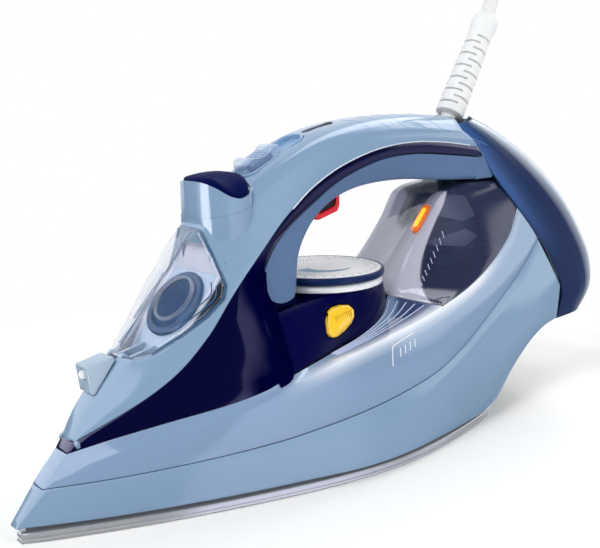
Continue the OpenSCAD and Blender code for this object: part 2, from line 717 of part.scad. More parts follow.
spray_foot = Z(122);
stem_d = 4;
pump_d = 12;
spray_pump_foot = Z(92);
spray_pump_top = Z(115);
module spray_button() {
    color([0.03, 0.04, 0.3]) {
        intersection() {
            collar_prism(collar_wall + button_gap);
            side_block(Y(30)) side_outline([[84, 122], [84, 133], [88, 136], [93, 138.2],
                [100, 139.4], [107, 138.6], [113, 136], [118, 133.4], [118, 122]]);
            translate([X(80), 0, Z(139.6) - 24]) rotate([0, 90, 0]) cylinder(h = 50, r = 24, $fn = 96);
        }
        translate([spray_x, 0, spray_pump_top - 3])
            cylinder(h = spray_foot - spray_pump_top + 4, d = stem_d);
    }
}
module spray_pump() {
    color("gainsboro") translate([spray_x, 0, spray_pump_foot]) difference() {
        cylinder(h = spray_pump_top - spray_pump_foot, d = pump_d);
        translate([0, 0, 6]) cylinder(h = 40, d = stem_d + 0.8);
    }
}
// A compression spring on the Z axis, as one swept wire
function coil_point(r, h, turns, t) = [r * cos(360 * turns * t), r * sin(360 * turns * t), h * t];
module spring(r, h, turns, wire) {
    rings = turns * 10;
    around_wire = 6;
    points = [for (k = [0 : rings]) for (s = [0 : around_wire - 1])
        let (c = coil_point(r, h - 2 * wire, turns, k / rings), a = 360 * turns * k / rings,
             b = 360 * s / around_wire)
        [c[0] + wire * cos(b) * cos(a), c[1] + wire * cos(b) * sin(a), c[2] + wire * (1 + sin(b))]];
    faces = concat(
        [for (k = [0 : rings - 1]) for (s = [0 : around_wire - 1])
            let (n = (s + 1) % around_wire, p = k * around_wire, q = p + around_wire)
            each [[p + s, p + n, q + n], [p + s, q + n, q + s]]],
        [[for (s = [around_wire - 1 : -1 : 0]) s]],
        [[for (s = [0 : around_wire - 1]) rings * around_wire + s]]);
    polyhedron(points = points, faces = faces);
}
spring_wire = 0.4;
spring_r = 3.6;
module spray_button_spring() {
    color("silver") translate([spray_x, 0, spray_pump_top])
        spring(spring_r, spray_foot - spray_pump_top, 3, spring_wire);
}

// ---- steam slider ------------------------------------------------------------------
track_at = at([131, 0, 142.6]);
track_lean = atan2(Z(16.4), X(35) - X(0));
track_half = 7.5;
track_back = -19.6;
track_deep = 4;
tray_t = 1.4;
tray_rim = 1.2;
slider_l = 23;
slider_stop = 1.6;
slider_back = track_back + tray_rim + slider_stop;
track_front = slider_back + slider_l + slider_travel + slider_stop + tray_rim;
slider_h = 6;
module on_track() {
    translate(track_at) rotate([0, -track_lean, 0]) children();
}
module track_shape(gap, low, high, corner = 3) {
    translate([0, 0, low]) linear_extrude(height = high - low) rounded(corner)
        translate([track_back - gap, -track_half - gap])
            square([track_front - track_back + 2 * gap, 2 * (track_half + gap)]);
}
module slider_track() {
    color([0.45, 0.6, 0.75]) on_track() difference() {
        track_shape(0, -track_deep, 0);
        track_shape(-tray_rim, tray_t - track_deep, 1, 2);
    }
}
module steam_slider() {
    half = track_half - tray_rim - button_gap;
    low = tray_t - track_deep + seam;
    color([0.75, 0.85, 0.95, 0.6]) on_track() translate([slider_back, 0, low]) rotate([90, 0, 0])
        linear_extrude(height = 2 * half, center = true) rounded(1)
            polygon([[0, 0], [slider_l, 0], [slider_l, slider_h - 1.4], [slider_l - 6, slider_h],
                     [10, slider_h - 0.6], [5, slider_h + 0.8], [0, slider_h - 2]]);
}

// ---- auto-off light on the handle ------------------------------------------------------
light_l = 19;
light_w = 4.6;
light_lean = 15;
// The light follows the slider's tray along the handle
light_gap = 3.5;
light_x = track_at[0] + track_front * cos(track_lean) + light_gap + light_l / 2;
light_at = [light_x, 0, Z(153.2) + (light_x - X(163)) * tan(light_lean)];
module light_shape(gap = 0) {
    translate(light_at) rotate([0, -light_lean, 0]) translate([0, 0, -3 - gap])
        linear_extrude(height = 3.6 + 2 * gap)
            square([light_l + 2 * gap, light_w + 2 * gap], center = true);
}
module auto_off_window() {
    color([0.2, 0.22, 0.28]) light_shape();
}
module upper_housing() {
    color("lightsteelblue") moulded() difference() {
        moulding(housing_grid());
        side_block(Y(40)) offset(r = button_gap) door_outline();
        translate(hinge_at) rotate([90, 0, 0])
            cylinder(h = Y(40), r = hinge_in / cos(door_turn / 2) + button_gap, center = true, $fn = 24);
        collar_prism(-seam);
        on_track() track_shape(seam, -track_deep - seam, 12);
        light_shape(seam / 2);
    }
}

// ---- handle ----------------------------------------------------------------------------
trigger_x = X(169);
trigger_half = 6;
flange_z = Z(127.6);
flange_h = 1.8;
trigger_stem_d = 4;
pump_foot = flange_z + flange_h + trigger_travel + 0.6;
pump_h = 14;
spring_pocket = 6;
steam_pump_d = 13;
module trigger_outline() {
    rounded(1.4) side_outline([[161.6, 128], [161.6, 118.4], [163.4, 112.2], [168.4, 110.2],
                               [175, 111.4], [176.4, 116], [176.4, 128]]);
}
module steam_trigger() {
    color("crimson") {
        side_block(trigger_half) trigger_outline();
        translate([trigger_x - 8.4, -trigger_half - 1.6, flange_z])
            cube([16.8, 2 * trigger_half + 3.2, flange_h]);
        translate([trigger_x, 0, flange_z + 1]) cylinder(h = trigger_travel + 5, d = trigger_stem_d);
    }
}
module trigger_spring() {
    color("silver") translate([trigger_x, 0, flange_z + flange_h])
        spring(spring_r, pump_foot + spring_pocket - flange_z - flange_h, 5, spring_wire);
}
module steam_pump() {
    color("gainsboro") translate([trigger_x, 0, pump_foot]) difference() {
        cylinder(h = pump_h, d = steam_pump_d);
        translate([0, 0, -1]) cylinder(h = pump_h - 1, d = trigger_stem_d + 0.8);
        translate([0, 0, -1]) cylinder(h = spring_pocket + 1, r = spring_r + 1);
    }
}
module handle_grip() {
    color("slategray") moulded() difference() {
        moulding(grip_grid());
        side_block(trigger_half + button_gap) offset(r = button_gap) trigger_outline();
    }
}
core_half = 9;
core_front = trigger_x + steam_pump_d / 2 + seam;
module handle_core() {
    keel = [for (k = [6 : 8]) [grip_keel[k][0], grip_keel[k][2] + wall + 3 * seam]];
    color("dimgray") side_block(core_half) polygon(concat(
        [[core_front, pump_foot + pump_h - 2], [core_front, pump_foot], [X(181), pump_foot - 1],
         [X(181), keel[0][1] + 0.3]],
        keel, [[X(244), Z(128)], [X(244), Z(149)], [X(232), Z(151.5)], [X(196), Z(151.5)]]));
}
strut_half = 4;
// The strut stands clear behind the filling cup
strut_gap = 6;
strut_front = door_foot[0] + (cup_along + cup_r) * cos(lean) + (cup_in + cup_depth) * sin(lean) + strut_gap;
module strut_frame() {
    top = spray_pump_foot;
    color("gray") side_block(strut_half)
        polygon([[strut_front, frame_foot], [X(123), frame_foot], [X(123), top],
                 [spray_x - pump_d / 2, top], [spray_x - pump_d / 2, top - 2.5], [strut_front, top - 6]]);
}

// ---- heel and cord -------------------------------------------------------------------------
heel_wall = 3;
swivel_at = at([257.5, 0, 149]);
swivel_lean = 31.7;
ball_r = 7;
ball_gap = 0.3;
socket_r = 8.9;
neck_r = 4;
guard_from = 9;
module on_swivel() {
    translate(swivel_at) rotate([0, swivel_lean, 0]) children();
}
// The room that the guard's foot sweeps through
module guard_room() {
    for (turn = [-guard_turn : guard_turn / 2 : guard_turn])
        translate(swivel_at) rotate([0, swivel_lean + turn, 0]) {
            translate([0, 0, guard_from - 1]) cylinder(h = 20, d = guard_d + 2 * button_gap);
            cylinder(h = guard_from, r = socket_r + seam);
        }
}
module heel_cover() {
    color([0.1, 0.15, 0.4, 0.8]) moulded() difference() {
        moulding(heel_grid(), heel_wall, 0, 0);
        guard_room();
    }
}
module cord_socket() {
    color("midnightblue") on_swivel() rotate_extrude() difference() {
        translate([0, -8]) square([socket_r, 11]);
        circle(r = ball_r + ball_gap);
        translate([0, -9]) square([3, 6]);
    }
}
slot_count = 6;
module cord_guard() {
    guard_r = guard_d / 2;
    tip = guard_from + guard_l;
    end_r = cord_d / 2 + 2.6;
    color("white") on_swivel() {
        difference() {
            union() {
                sphere(r = ball_r);
                cylinder(h = guard_from + 1, r = neck_r);
                translate([0, 0, guard_from]) cylinder(h = guard_l - 9, r1 = guard_r, r2 = end_r);
                translate([0, 0, tip - 9]) cylinder(h = 5, r1 = end_r, r2 = end_r + 0.9);
                translate([0, 0, tip - 4]) cylinder(h = 4, r1 = end_r + 0.9, r2 = end_r - 1);
            }
            for (k = [0 : slot_count - 1]) for (turn = [0, 90])
                rotate([0, 0, turn]) translate([0, 0, guard_from + 5 + 7.4 * k + turn / 90 * 3.7])
                    for (side = [-1, 1]) translate([0, side * (guard_r - 1), 0])
                        cube([10, 4, 2], center = true);
        }
    }
}
// The free cord, straight out of the guard, over and down to the floor
cord_route = [[129.1, 0, 210.2], [134, 0, 222], [139, -1, 235], [146, -5, 246], [154, -12, 255],
    [165, -20, 260], [177, -29, 260], [188, -37, 255], [197, -43, 246], [204, -48, 234],
    [209, -51, 219], [212, -53, 202], [215, -55, 183], [216, -56, 160], [217, -57, 135],
    [218, -57, 110], [219.4, -58, 86], [220.6, -58.7, 67], [221, -59, 48.8], [226.1, -61.9, 26.8],
    [234.7, -66.7, 15.1], [246.2, -73.2, 7.5], [259.3, -80.6, 4.8], [269.5, -85.9, 4.8], [279.9, -91.3, 4.8]];
coil_at = [303, -47];
coil_low = 0.8;
coil_layers = 3;
coil_w = 2.75 * cord_d;
coil_inner = coil_d / 2 - coil_w / 2;
plug_turn = -150.3;
plug_z = 41.85;
tail_r = coil_inner + cord_d / 2;
tail_low = coil_low + (coil_layers - 0.5) * cord_d;
tail_sweep = 205;
// The last half turn, which climbs onto the coil
tail_route = [for (t = [0 : 0.1 : 1])
    let (a = plug_turn - 90 - tail_sweep * (1 - t))
    [coil_at[0] + tail_r * cos(a), coil_at[1] + tail_r * sin(a),
     tail_low + (plug_z - tail_low) * t * t * (3 - 2 * t)]];
function sweep_frame(g, k) =
    let (t = unit(g[min(k + 1, len(g) - 1)] - g[max(k - 1, 0)]),
         side = unit(cross([0.02, 0.55, 0.83], t)))
    [side, cross(t, side)];
module swept(g, r, sides = 10) {
    points = [for (k = [0 : len(g) - 1]) for (s = [0 : sides - 1])
        let (f = sweep_frame(g, k), a = 360 * s / sides)
        g[k] + r * (cos(a) * f[0] + sin(a) * f[1])];
    last = len(g) - 1;
    faces = concat(
        [for (k = [0 : last - 1]) for (s = [0 : sides - 1])
            let (n = (s + 1) % sides, p = k * sides, q = p + sides)
            each [[p + s, q + n, p + n], [p + s, q + s, q + n]]],
        [[for (s = [0 : sides - 1]) s]],
        [[for (s = [sides - 1 : -1 : 0]) last * sides + s]]);
    polyhedron(points = points, faces = faces);
}
module mains_cord() {
    color("whitesmoke") swept(smooth(cord_route, 2), cord_d / 2);
}
module cord_coil() {
    color("whitesmoke") translate([coil_at[0], coil_at[1], coil_low]) rotate_extrude($fn = 96)
        translate([coil_inner, 0]) square([coil_w, coil_layers * cord_d]);
}
tie_w = 12;
tie_t = 0.7;
tie_turn = -90;
module cord_tie() {
    high = coil_layers * cord_d;
    reach = coil_d / 2 - sqrt(coil_inner * coil_inner - tie_w * tie_w / 4);
    color("dimgray") translate([coil_at[0], coil_at[1], 0]) rotate([0, 0, tie_turn])
        translate([coil_d / 2, 0, 0]) difference() {
            translate([-reach - tie_t, -tie_w / 2, 0])
                cube([reach + coil_w / 2 + 2 * tie_t, tie_w, high + coil_low + tie_t]);
            translate([-reach, -tie_w, coil_low]) cube([reach + coil_w / 2, 2 * tie_w, high]);
        }
}
module plug_lead() {
    color("whitesmoke") swept(smooth(tail_route, 2), cord_d / 2);
}
plug_d = 34;
plug_l = 30;
pin_d = 4.8;
pin_l = 19;
pin_pitch = 19;
plug_relief = 16;
// The plug lies on the coil, in line with the end of the lead
plug_at = tail_route[len(tail_route) - 1];
module on_plug() {
    translate(plug_at) rotate([0, 0, plug_turn]) rotate([0, 90, 0]) children();
}
module mains_plug() {
    color("whitesmoke") on_plug() {
        cylinder(h = plug_relief, r1 = cord_d / 2 + 1.5, r2 = cord_d / 2 + 4);
        translate([0, 0, plug_relief]) cylinder(h = 8, r1 = 11, r2 = plug_d / 2);
        translate([0, 0, plug_relief + 8]) cylinder(h = plug_l - 8, d = plug_d);
    }
}
module plug_pins() {
    color("silver") on_plug() for (side = [-1, 1])
        translate([side * pin_pitch / 2, 0, plug_relief + plug_l]) cylinder(h = pin_l, d = pin_d);
}

soleplate();
soleplate_casting();
heating_element();
steam_chamber_cover();
chamber_seal();
heat_shield();
thermostat();
thermal_fuse();
mounting_posts();
screws();
lower_shell();
rear_base_cover();
water_tank();
tank_floor();
rear_window();
inner_frame();
navy_side_panel();
dial_base();
dial_bezel();
temperature_dial();
dial_face();
calc_clean_button();
calc_valve();
upper_housing();
handle_grip();
handle_core();
strut_frame();
spray_collar();
spray_button();
spray_button_spring();
spray_pump();
slider_track();
steam_slider();
steam_trigger();
steam_pump();
trigger_spring();
filler_door();
door_pin();
filler_cup();
filler_seal();
nozzle_housing();
nozzle_tip();
indicator_lens();
auto_off_window();
control_board();
terminal_block();
heel_cover();
cord_socket();
cord_guard();
mains_cord();
cord_coil();
cord_tie();
plug_lead();
mains_plug();
plug_pins();
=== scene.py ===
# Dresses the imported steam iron: smooth shells, clear plastics, polished plate, dial, cord and coil.
# The scene is in metres, in the frame of the solids. Guides, profiles and heights are written in
# millimetres; times MM, or by at() and side_outline(), they become metres.
import math
import bmesh
import bpy
import numpy as np
from mathutils import Matrix, Vector
from mathutils.bvhtree import BVHTree


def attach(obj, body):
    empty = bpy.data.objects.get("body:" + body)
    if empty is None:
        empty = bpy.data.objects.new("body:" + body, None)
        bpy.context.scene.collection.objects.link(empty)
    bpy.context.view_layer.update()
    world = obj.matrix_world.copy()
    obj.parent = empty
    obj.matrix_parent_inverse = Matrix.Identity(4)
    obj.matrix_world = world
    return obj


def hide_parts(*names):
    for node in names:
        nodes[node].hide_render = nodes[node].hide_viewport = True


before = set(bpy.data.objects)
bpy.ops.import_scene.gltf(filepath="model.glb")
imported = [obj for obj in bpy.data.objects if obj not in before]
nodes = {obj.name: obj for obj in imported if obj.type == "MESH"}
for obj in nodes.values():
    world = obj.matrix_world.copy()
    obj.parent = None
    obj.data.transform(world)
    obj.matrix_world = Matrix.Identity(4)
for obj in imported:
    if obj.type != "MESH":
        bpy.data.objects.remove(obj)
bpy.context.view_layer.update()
MM = 0.001
# How thick a moulded shell is
WALL = 2.2 * MM
# The line between two shells that are closed together
SEAM = 0.3 * MM
# The play round a part that moves or is pressed in
GAP = 0.4 * MM
# From the nose of the plate to the frame's origin, in millimetres
MIDDLE = 166


# ---- colours and materials -----------------------------------------------------------------------
def srgb(code):
    """A colour written as sRGB hex, as the linear value a shader takes."""
    parts = [int(code[k:k + 2], 16) / 255 for k in (1, 3, 5)]
    return tuple(c / 12.92 if c <= 0.04045 else ((c + 0.055) / 1.055) ** 2.4 for c in parts) + (1.0,)


def add(tree, kind, links=(), **settings):
    """One node with its settings; a link is (input, from node, from socket) or (input, plain value)."""
    node = tree.nodes.new(kind)
    for name, value in settings.items():
        if hasattr(node, name) and name not in node.inputs:
            setattr(node, name, value)
        else:
            node.inputs[name.replace("_", " ")].default_value = value
    for socket, source, *out in links:
        if out:
            tree.links.new(source.outputs[out[0]], node.inputs[socket])
        else:
            node.inputs[socket].default_value = source
    return node


def plastic(name, colour, roughness, coat=0.0, grain=0.0, grain_mm=0.4, shade=0.04, metallic=0.0,
            subsurface=0.0, specular=0.5, emission=None, emission_strength=0.0):
    """A moulded finish: slightly uneven colour and gloss, with a fine grain of a real size."""
    material = bpy.data.materials.new(name)
    material.use_nodes = True
    tree = material.node_tree
    surface = surface_of(material)
    place = add(tree, "ShaderNodeTexCoord")
    cloud = add(tree, "ShaderNodeTexNoise", [("Vector", place, "Object")], Scale=18.0, Detail=3.0)
    dark, light = (tuple(min(1.0, c * (1 + change)) for c in srgb(colour)[:3]) + (1.0,)
                   for change in (-shade, shade))
    tint = add(tree, "ShaderNodeMixRGB", [("Fac", cloud, "Fac")], Color1=dark, Color2=light)
    gloss = add(tree, "ShaderNodeMapRange", [("Value", cloud, "Fac")],
                To_Min=roughness * 0.85, To_Max=roughness * 1.15)
    tree.links.new(tint.outputs["Color"], surface.inputs["Base Color"])
    tree.links.new(gloss.outputs["Result"], surface.inputs["Roughness"])
    values = {"Metallic": metallic, "Coat Weight": coat, "Coat Roughness": 0.03,
              "Specular IOR Level": specular, "Subsurface Weight": subsurface, "Subsurface Scale": 0.002}
    if emission:
        values.update({"Emission Color": srgb(emission), "Emission Strength": emission_strength})
    for socket, value in values.items():
        surface.inputs[socket].default_value = value
    if grain:
        fine = add(tree, "ShaderNodeTexNoise", [("Vector", place, "Object")],
                   Scale=1.0 / (grain_mm * MM), Detail=2.0)
        bump = add(tree, "ShaderNodeBump", [("Height", fine, "Fac")], Strength=grain, Distance=0.00005)
        tree.links.new(bump.outputs["Normal"], surface.inputs["Normal"])
    return material


def surface_of(material):
    """The main shader of a material."""
    return material.node_tree.nodes["Principled BSDF"]


def clear(name, colour, low, high, roughness=0.04):
    """Clear moulded plastic: see-through head on, mirror-like at a glance."""
    material = plastic(name, colour, roughness, coat=1.0, shade=0.02)
    tree = material.node_tree
    edge = add(tree, "ShaderNodeLayerWeight", Blend=0.35)
    alpha = add(tree, "ShaderNodeMapRange", [("Value", edge, "Facing")], To_Min=low, To_Max=high)
    tree.links.new(alpha.outputs["Result"], surface_of(material).inputs["Alpha"])
    return material


# Polypropylene from a polished mould: soft blue with crisp reflections
shell_blue = plastic("shell_pp_gloss", "#829db8", 0.16, coat=0.5, shade=0.02)
# Tinted polycarbonate: the same blue, wetter and a little milky
tank_blue = plastic("tank_pc_tinted", "#839bb9", 0.10, coat=0.8, shade=0.02)
# ABS from a mirror-polished mould: nearly black, with violet-blue reflections
navy = plastic("panel_abs_navy", "#02022e", 0.10, coat=1.0, shade=0.03)
surface_of(navy).inputs["Specular Tint"].default_value = srgb("#9a9cff")
# Plain polypropylene under the clear slider: a mid blue that shows through it
slider_blue = plastic("slider_core_pp_blue", "#3f6599", 0.25, coat=0.6)
# Unpolished polypropylene: pale blue with a dull sheen, behind the window
duct_blue = plastic("duct_pp_pale", "#b9c6e0", 0.3)
# Glass-filled nylon: brown-black, and swallows most of the light
frame_brown = plastic("frame_pa_brown_black", "#2d252c", 0.4)
# ABS from an etched mould: a flat dark blue with hardly a highlight
navy_satin = plastic("button_abs_navy", "#020d40", 0.5, specular=0.04)
# ABS from a half-polished mould: dark blue with a low, wide sheen
hump_navy = plastic("hump_abs_navy", "#02023a", 0.3, specular=0.08)
# ABS from an etched mould, in the joint: flat, so that the joint shows no bright line
joint_navy = plastic("joint_abs_matt_navy", "#02022e", 0.9, specular=0)
# ABS with a low sheen: the dial reads as a blue disc round its pale face
dial_navy = plastic("dial_edge_abs_blue", "#0f2350", 0.3, specular=0.25)
# Polypropylene with a clear gloss: the palest blue of the body
nozzle_pale = plastic("nozzle_pp_pale_blue", "#a7bacb", 0.2, coat=0.4)
# Painted highlight: a fine light line along the body, as the light on its rounded edge
painted_edge_highlight = plastic("edge_painted_highlight", "#dfe7f0", 0.15, coat=0.6)
# Tinted polycarbonate seen through its depth: a deep blue edge that shines
door_rim = plastic("door_edge_tinted", "#2b567c", 0.15, coat=0.8)
# Unpolished polypropylene: a pale lilac floor that spreads the light
liner_pale = plastic("liner_pp_lilac", "#d9ddee", 0.35)
# Moulded silicone: deep teal and silky, with soft highlights
seal_teal = plastic("seal_silicone_teal", "#083f6b", 0.4)
# Soft-touch rubber from an etched mould: dusty blue, without a sharp highlight
grip_rubber = plastic("grip_soft_touch", "#587399", 0.42, grain=0.25, grain_mm=0.5, specular=0.4)
# Tinted polycarbonate: deep blue with a thin, clear gloss
heel_plastic = plastic("heel_pc_deep_blue", "#10254a", 0.12, coat=0.12, shade=0.05, specular=0.2)
# Silver-white painted ABS: bright, with a soft shine
silver_ring = plastic("ring_abs_silver_white", "#f4f5f6", 0.22, coat=0.4)
# A satin printed plate: warm white, even from all sides
dial_print = plastic("dial_satin_print", "#f0efe8", 0.4)
# Printed ink: dull grey on the warm white
dial_ink = plastic("dial_ink_grey", "#4a4d55", 0.5)
# Printed ink: a flat teal
dial_teal = plastic("dial_ink_teal", "#3f8296", 0.4)
# ABS from a polished mould: warm yellow with a wet shine
button_yellow = plastic("button_abs_yellow", "#fbc92c", 0.2, coat=0.6, shade=0.05)
# ABS from a polished mould: full red with a wet shine
trigger_red = plastic("trigger_abs_red", "#ea1620", 0.18, coat=0.8)
# Soft vinyl from an etched mould: white that takes in a little light, so shadows stay pale
guard_vinyl = plastic("guard_vinyl_white", "#e9e9e7", 0.38, grain=0.15, subsurface=0.05)
# Extruded vinyl: white, matt, and a shade greyer than the guard
cord_vinyl = plastic("cord_vinyl_white", "#e4e3e0", 0.42, grain=0.15)
# Vinyl moulded round the pins: white with a fine, even grain
plug_vinyl = plastic("plug_vinyl_white", "#e6e6e3", 0.36, grain=0.2)
# Nickel-plated brass: bright and slightly warm
pin_metal = plastic("plug_pins_nickel", "#c9c6bd", 0.22, metallic=1.0)
# Woven tape: dark grey with a coarse weave that catches no shine
tie_tape = plastic("tie_woven_tape", "#4a4d52", 0.8, grain=0.9, grain_mm=0.8)
# Polished and hardened plate: pale, and half a mirror
plate_steel = plastic("soleplate_polished", "#d8d9da", 0.16, metallic=0.5, shade=0.02)
# Die-cast and painted: mid grey with a metal sheen
skirt_grey = plastic("skirt_cast_grey", "#85868a", 0.38, metallic=0.35)
# Sand-cast aluminium: rough grey that breaks up the light
casting_grey = plastic("casting_sand_cast", "#8b8c8f", 0.6, metallic=0.9, grain=0.8, grain_mm=0.9)
# Drawn tube, tinted by heat: brownish metal
element_steel = plastic("element_tube_tinted", "#6f6a63", 0.35, metallic=1.0)
# Zinc-plated steel: a cool light metal
zinc_steel = plastic("screws_zinc_plated", "#b9bcc0", 0.3, metallic=1.0)
# Drawn wire: fine bright lines along each turn
spring_steel = plastic("springs_drawn_wire", "#a9abae", 0.25, metallic=1.0)
# Moulded silicone: brick red and matt
silicone_red = plastic("seal_silicone_red", "#a33c28", 0.5)
# Unglazed ceramic: cream and chalky
ceramic_cream = plastic("thermostat_ceramic", "#d5cdba", 0.7, grain=0.5, grain_mm=0.6)
# Nylon from an unpolished mould: plain grey
nylon_grey = plastic("inner_nylon_grey", "#7d838c", 0.5, grain=0.3)
# Machined acetal: milk white and slightly waxy
acetal_white = plastic("pump_acetal_white", "#dfe2e6", 0.35)
# Polypropylene with a clear gloss: pale blue, brighter than the body round it
cup_plastic = plastic("cup_pp_pale_blue", "#a9c0dc", 0.2, coat=0.5)
# Polypropylene with a light gloss: a tone brighter than the body under the slider
tray_blue = plastic("tray_pp_blue", "#88a8cb", 0.25, coat=0.3)
# Solder mask over copper: dark green with a glassy film
board_green = plastic("board_solder_mask", "#1d5a3b", 0.35, coat=0.4)
# Smoked polycarbonate with an etched face: almost black, without a reflection
light_smoke = plastic("light_smoked_lens", "#2a2f36", 0.4, specular=0.1)
# Printed ink: fine grey bars on the smoked lens
light_bar = plastic("light_bar_ink", "#5a626c", 0.5, specular=0.1)
# Printed ink: a pale lilac line
print_lilac = plastic("mark_lilac_ink", "#ccd6f2", 0.4)
# A moulded line: hardly lighter than the shell it stands on
shell_line = plastic("mark_moulded_line", "#8ba2bd", 0.4)
# Painted shade: the moulded grip lines in a darker yellow, for their shaded sides
calc_rib_shade = plastic("calc_ribs_painted_shade", "#c79a12", 0.4)
# ABS in the sunk side of the trigger: red gone almost black
trigger_dark = plastic("trigger_panel_dark_red", "#2c0a12", 0.3)
# Printed ink: a clean white line; the same white is the painted highlight inside the door's edge
white_ink_and_glint = plastic("white_ink_and_glint_line", "#eef2f8", 0.4)
# Amber polycarbonate over a lamp: a warm lens with a slight light of its own
amber = plastic("lamp_amber_lens", "#e8741a", 0.2, coat=0.8, emission="#ff6a10", emission_strength=0.3)
# The lit strip under the lens: bright yellow
amber_lit = plastic("lamp_lit_strip", "#ffd83c", 0.2, coat=0.8, emission="#ffc81e", emission_strength=0.6)
# Tinted clear polycarbonate: smoky head on, and a mirror at a glance
window_clear = clear("window_pc_clear", "#3a3f5e", 0.36, 0.85)
# Clear polycarbonate: all but unseen head on, with bright edges
door_clear = clear("door_pc_clear", "#e3ebf6", 0.015, 0.4, roughness=0.1)
# Clear tinted polycarbonate: pale blue, strongly mirrored where it curves
slider_clear = clear("slider_pc_clear", "#b9d0ea", 0.22, 0.95)


def read_point(material, name):
    """A value that a piece carries for each of its points."""
    return add(material.node_tree, "ShaderNodeAttribute", attribute_name=name)


def mixed_in(material, source, out, colour):
    """Mixes a second colour over the material's own by a value."""
    tree = material.node_tree
    base = surface_of(material).inputs["Base Color"]
    mix = add(tree, "ShaderNodeMixRGB", [("Fac", source, out)], Color2=srgb(colour))
    tree.links.new(base.links[0].from_socket, mix.inputs["Color1"])
    tree.links.new(mix.outputs["Color"], base)


def ramp(tree, source, out, low, high, start=0.0, end=1.0):
    """A soft step of a value between two bounds."""
    return add(tree, "ShaderNodeMapRange", [("Value", source, out)], interpolation_type="SMOOTHSTEP",
               From_Min=low, From_Max=high, To_Min=start, To_Max=end)


def across(material, direction, low, high):
    """A step between two places along a direction, for where one finish gives way to another."""
    tree = material.node_tree
    place = add(tree, "ShaderNodeTexCoord")
    along = add(tree, "ShaderNodeVectorMath", [(0, place, "Object"), (1, direction)], operation="DOT_PRODUCT")
    return ramp(tree, along, "Value", low, high)


# Towards the hump the panel loses its mirror and reads as one dark form with it
calm = read_point(navy, "calm")
for socket in ("Coat Weight", "Specular IOR Level"):
    level = surface_of(navy).inputs[socket].default_value
    less = add(navy.node_tree, "ShaderNodeMath", [(0, calm, "Fac"), (1, -level), (2, level)],
               operation="MULTIPLY_ADD")
    navy.node_tree.links.new(less.outputs["Value"], surface_of(navy).inputs[socket])
# Painted shade: deep in the deck the tank is painted darker, for the shaded inside seen through it
mixed_in(tank_blue, read_point(tank_blue, "depth"), "Fac", "#37456b")
# Painted highlight: a pale band along the tank's shoulder, where the light would catch it
mixed_in(tank_blue, read_point(tank_blue, "glow"), "Fac", "#eef1f8")
# The front of the window is milky, its rear is clear over the dark mouldings
milky = across(window_clear, (1, 0, -0.75), -0.0142, -0.0158)
mixed_in(window_clear, milky, "Result", "#cbcad8")
milk = add(window_clear.node_tree, "ShaderNodeMath", [(0, milky, "Result"), (1, 0.82)], operation="MULTIPLY")
alpha = surface_of(window_clear).inputs["Alpha"]
more = add(window_clear.node_tree, "ShaderNodeMath", [(0, milk, "Value")], operation="MAXIMUM")
window_clear.node_tree.links.new(alpha.links[0].from_socket, more.inputs[1])
window_clear.node_tree.links.new(more.outputs["Value"], alpha)
# Painted light: the heel is painted lighter beside the handle, and a painted highlight runs along its outer
# edge
mixed_in(heel_plastic, read_point(heel_plastic, "lit"), "Fac", "#3b5c92")
mixed_in(heel_plastic, read_point(heel_plastic, "rim"), "Fac", "#e3ebf5")
# Painted shade: the cup is pale at its flange and painted a deeper blue inside, where shade falls
lean = math.atan2(46, 40)
slope = 0.119 * math.sin(lean) + 0.067 * math.cos(lean)
inside = across(cup_plastic, (-math.sin(lean), 0, math.cos(lean)), slope - 0.0138, slope - 0.0142)
mixed_in(cup_plastic, inside, "Result", "#5f88b4")

# ---- camera, light and floor ---------------------------------------------------------------------
def add_camera():
    """The camera of the main view, with its frame turned slightly about its own axis."""
    azimuth, elevation, roll = (math.radians(v) for v in (41.96, 11.35, -1.22))
    away = 427.5 * MM
    target = Vector((-16.01, 0, 84.63)) * MM
    right = Vector((math.cos(azimuth), -math.sin(azimuth), 0))
    ahead = Vector((math.sin(azimuth) * math.cos(elevation), math.cos(azimuth) * math.cos(elevation),
                    -math.sin(elevation)))
    up = right.cross(ahead)
    side = right * math.cos(roll) + up * math.sin(roll)
    head = up * math.cos(roll) - right * math.sin(roll)
    camera = bpy.data.objects.new("camera", bpy.data.cameras.new("camera"))
    bpy.context.scene.collection.objects.link(camera)
    bpy.context.scene.camera = camera
    pose = Matrix((side, head, -ahead)).transposed().to_4x4()
    pose.translation = target - ahead * away
    camera.matrix_world = pose
    camera.data.sensor_width = 36
    camera.data.lens = 53.34
    camera.data.clip_start = 0.01
    return right, ahead


view_right, view_ahead = add_camera()


def softbox(name, place, aim, size, power, colour="#ffffff"):
    """A lamp for the plain light; the reflections come from the world's panels."""
    lamp = bpy.data.objects.new(name, bpy.data.lights.new(name, "AREA"))
    bpy.context.scene.collection.objects.link(lamp)
    lamp.data.shape = "RECTANGLE"
    lamp.data.size, lamp.data.size_y = size
    lamp.data.energy = power
    lamp.data.color = srgb(colour)[:3]
    lamp.location = place
    lamp.visible_glossy = False
    lamp.rotation_mode = "QUATERNION"
    lamp.rotation_quaternion = (Vector(aim) - Vector(place)).to_track_quat("-Z", "Y")
    return lamp


# Each panel: its two sides and its two ends as soft steps in degrees, its colour and its strength
PANELS = [
    (((-100, -99), (-82, -48)), ((-60, -50), (36, 44)), "#d6d6f4", 0.85),
    (((-98, -96), (-40, -16)), ((-60, -50), (-6, 6)), "#d5d8ff", 0.45),
    (((99, 101), (222, 222.5)), ((10, 14), (74, 80)), "#f4f6ff", 2.2),
    (((157, 159), (198, 200)), ((-70, -60), (10, 14)), "#fbfbff", 8.0),
    (((-13, -5), (22, 32)), ((24, 38), (86, 89)), "#f4f6fb", 3.0),
    (((-44, -38), (-13, -5)), ((0, 6), (22, 27)), "#f4f6fb", 1.4),
    (((-16, -15), (99, 101)), ((-8, -4), (72, 80)), "#f2f5ff", 1.0),
    (((-12, 0), (80, 100)), ((-60, -50), (-8, -4)), "#e8ecff", 0.6),
]


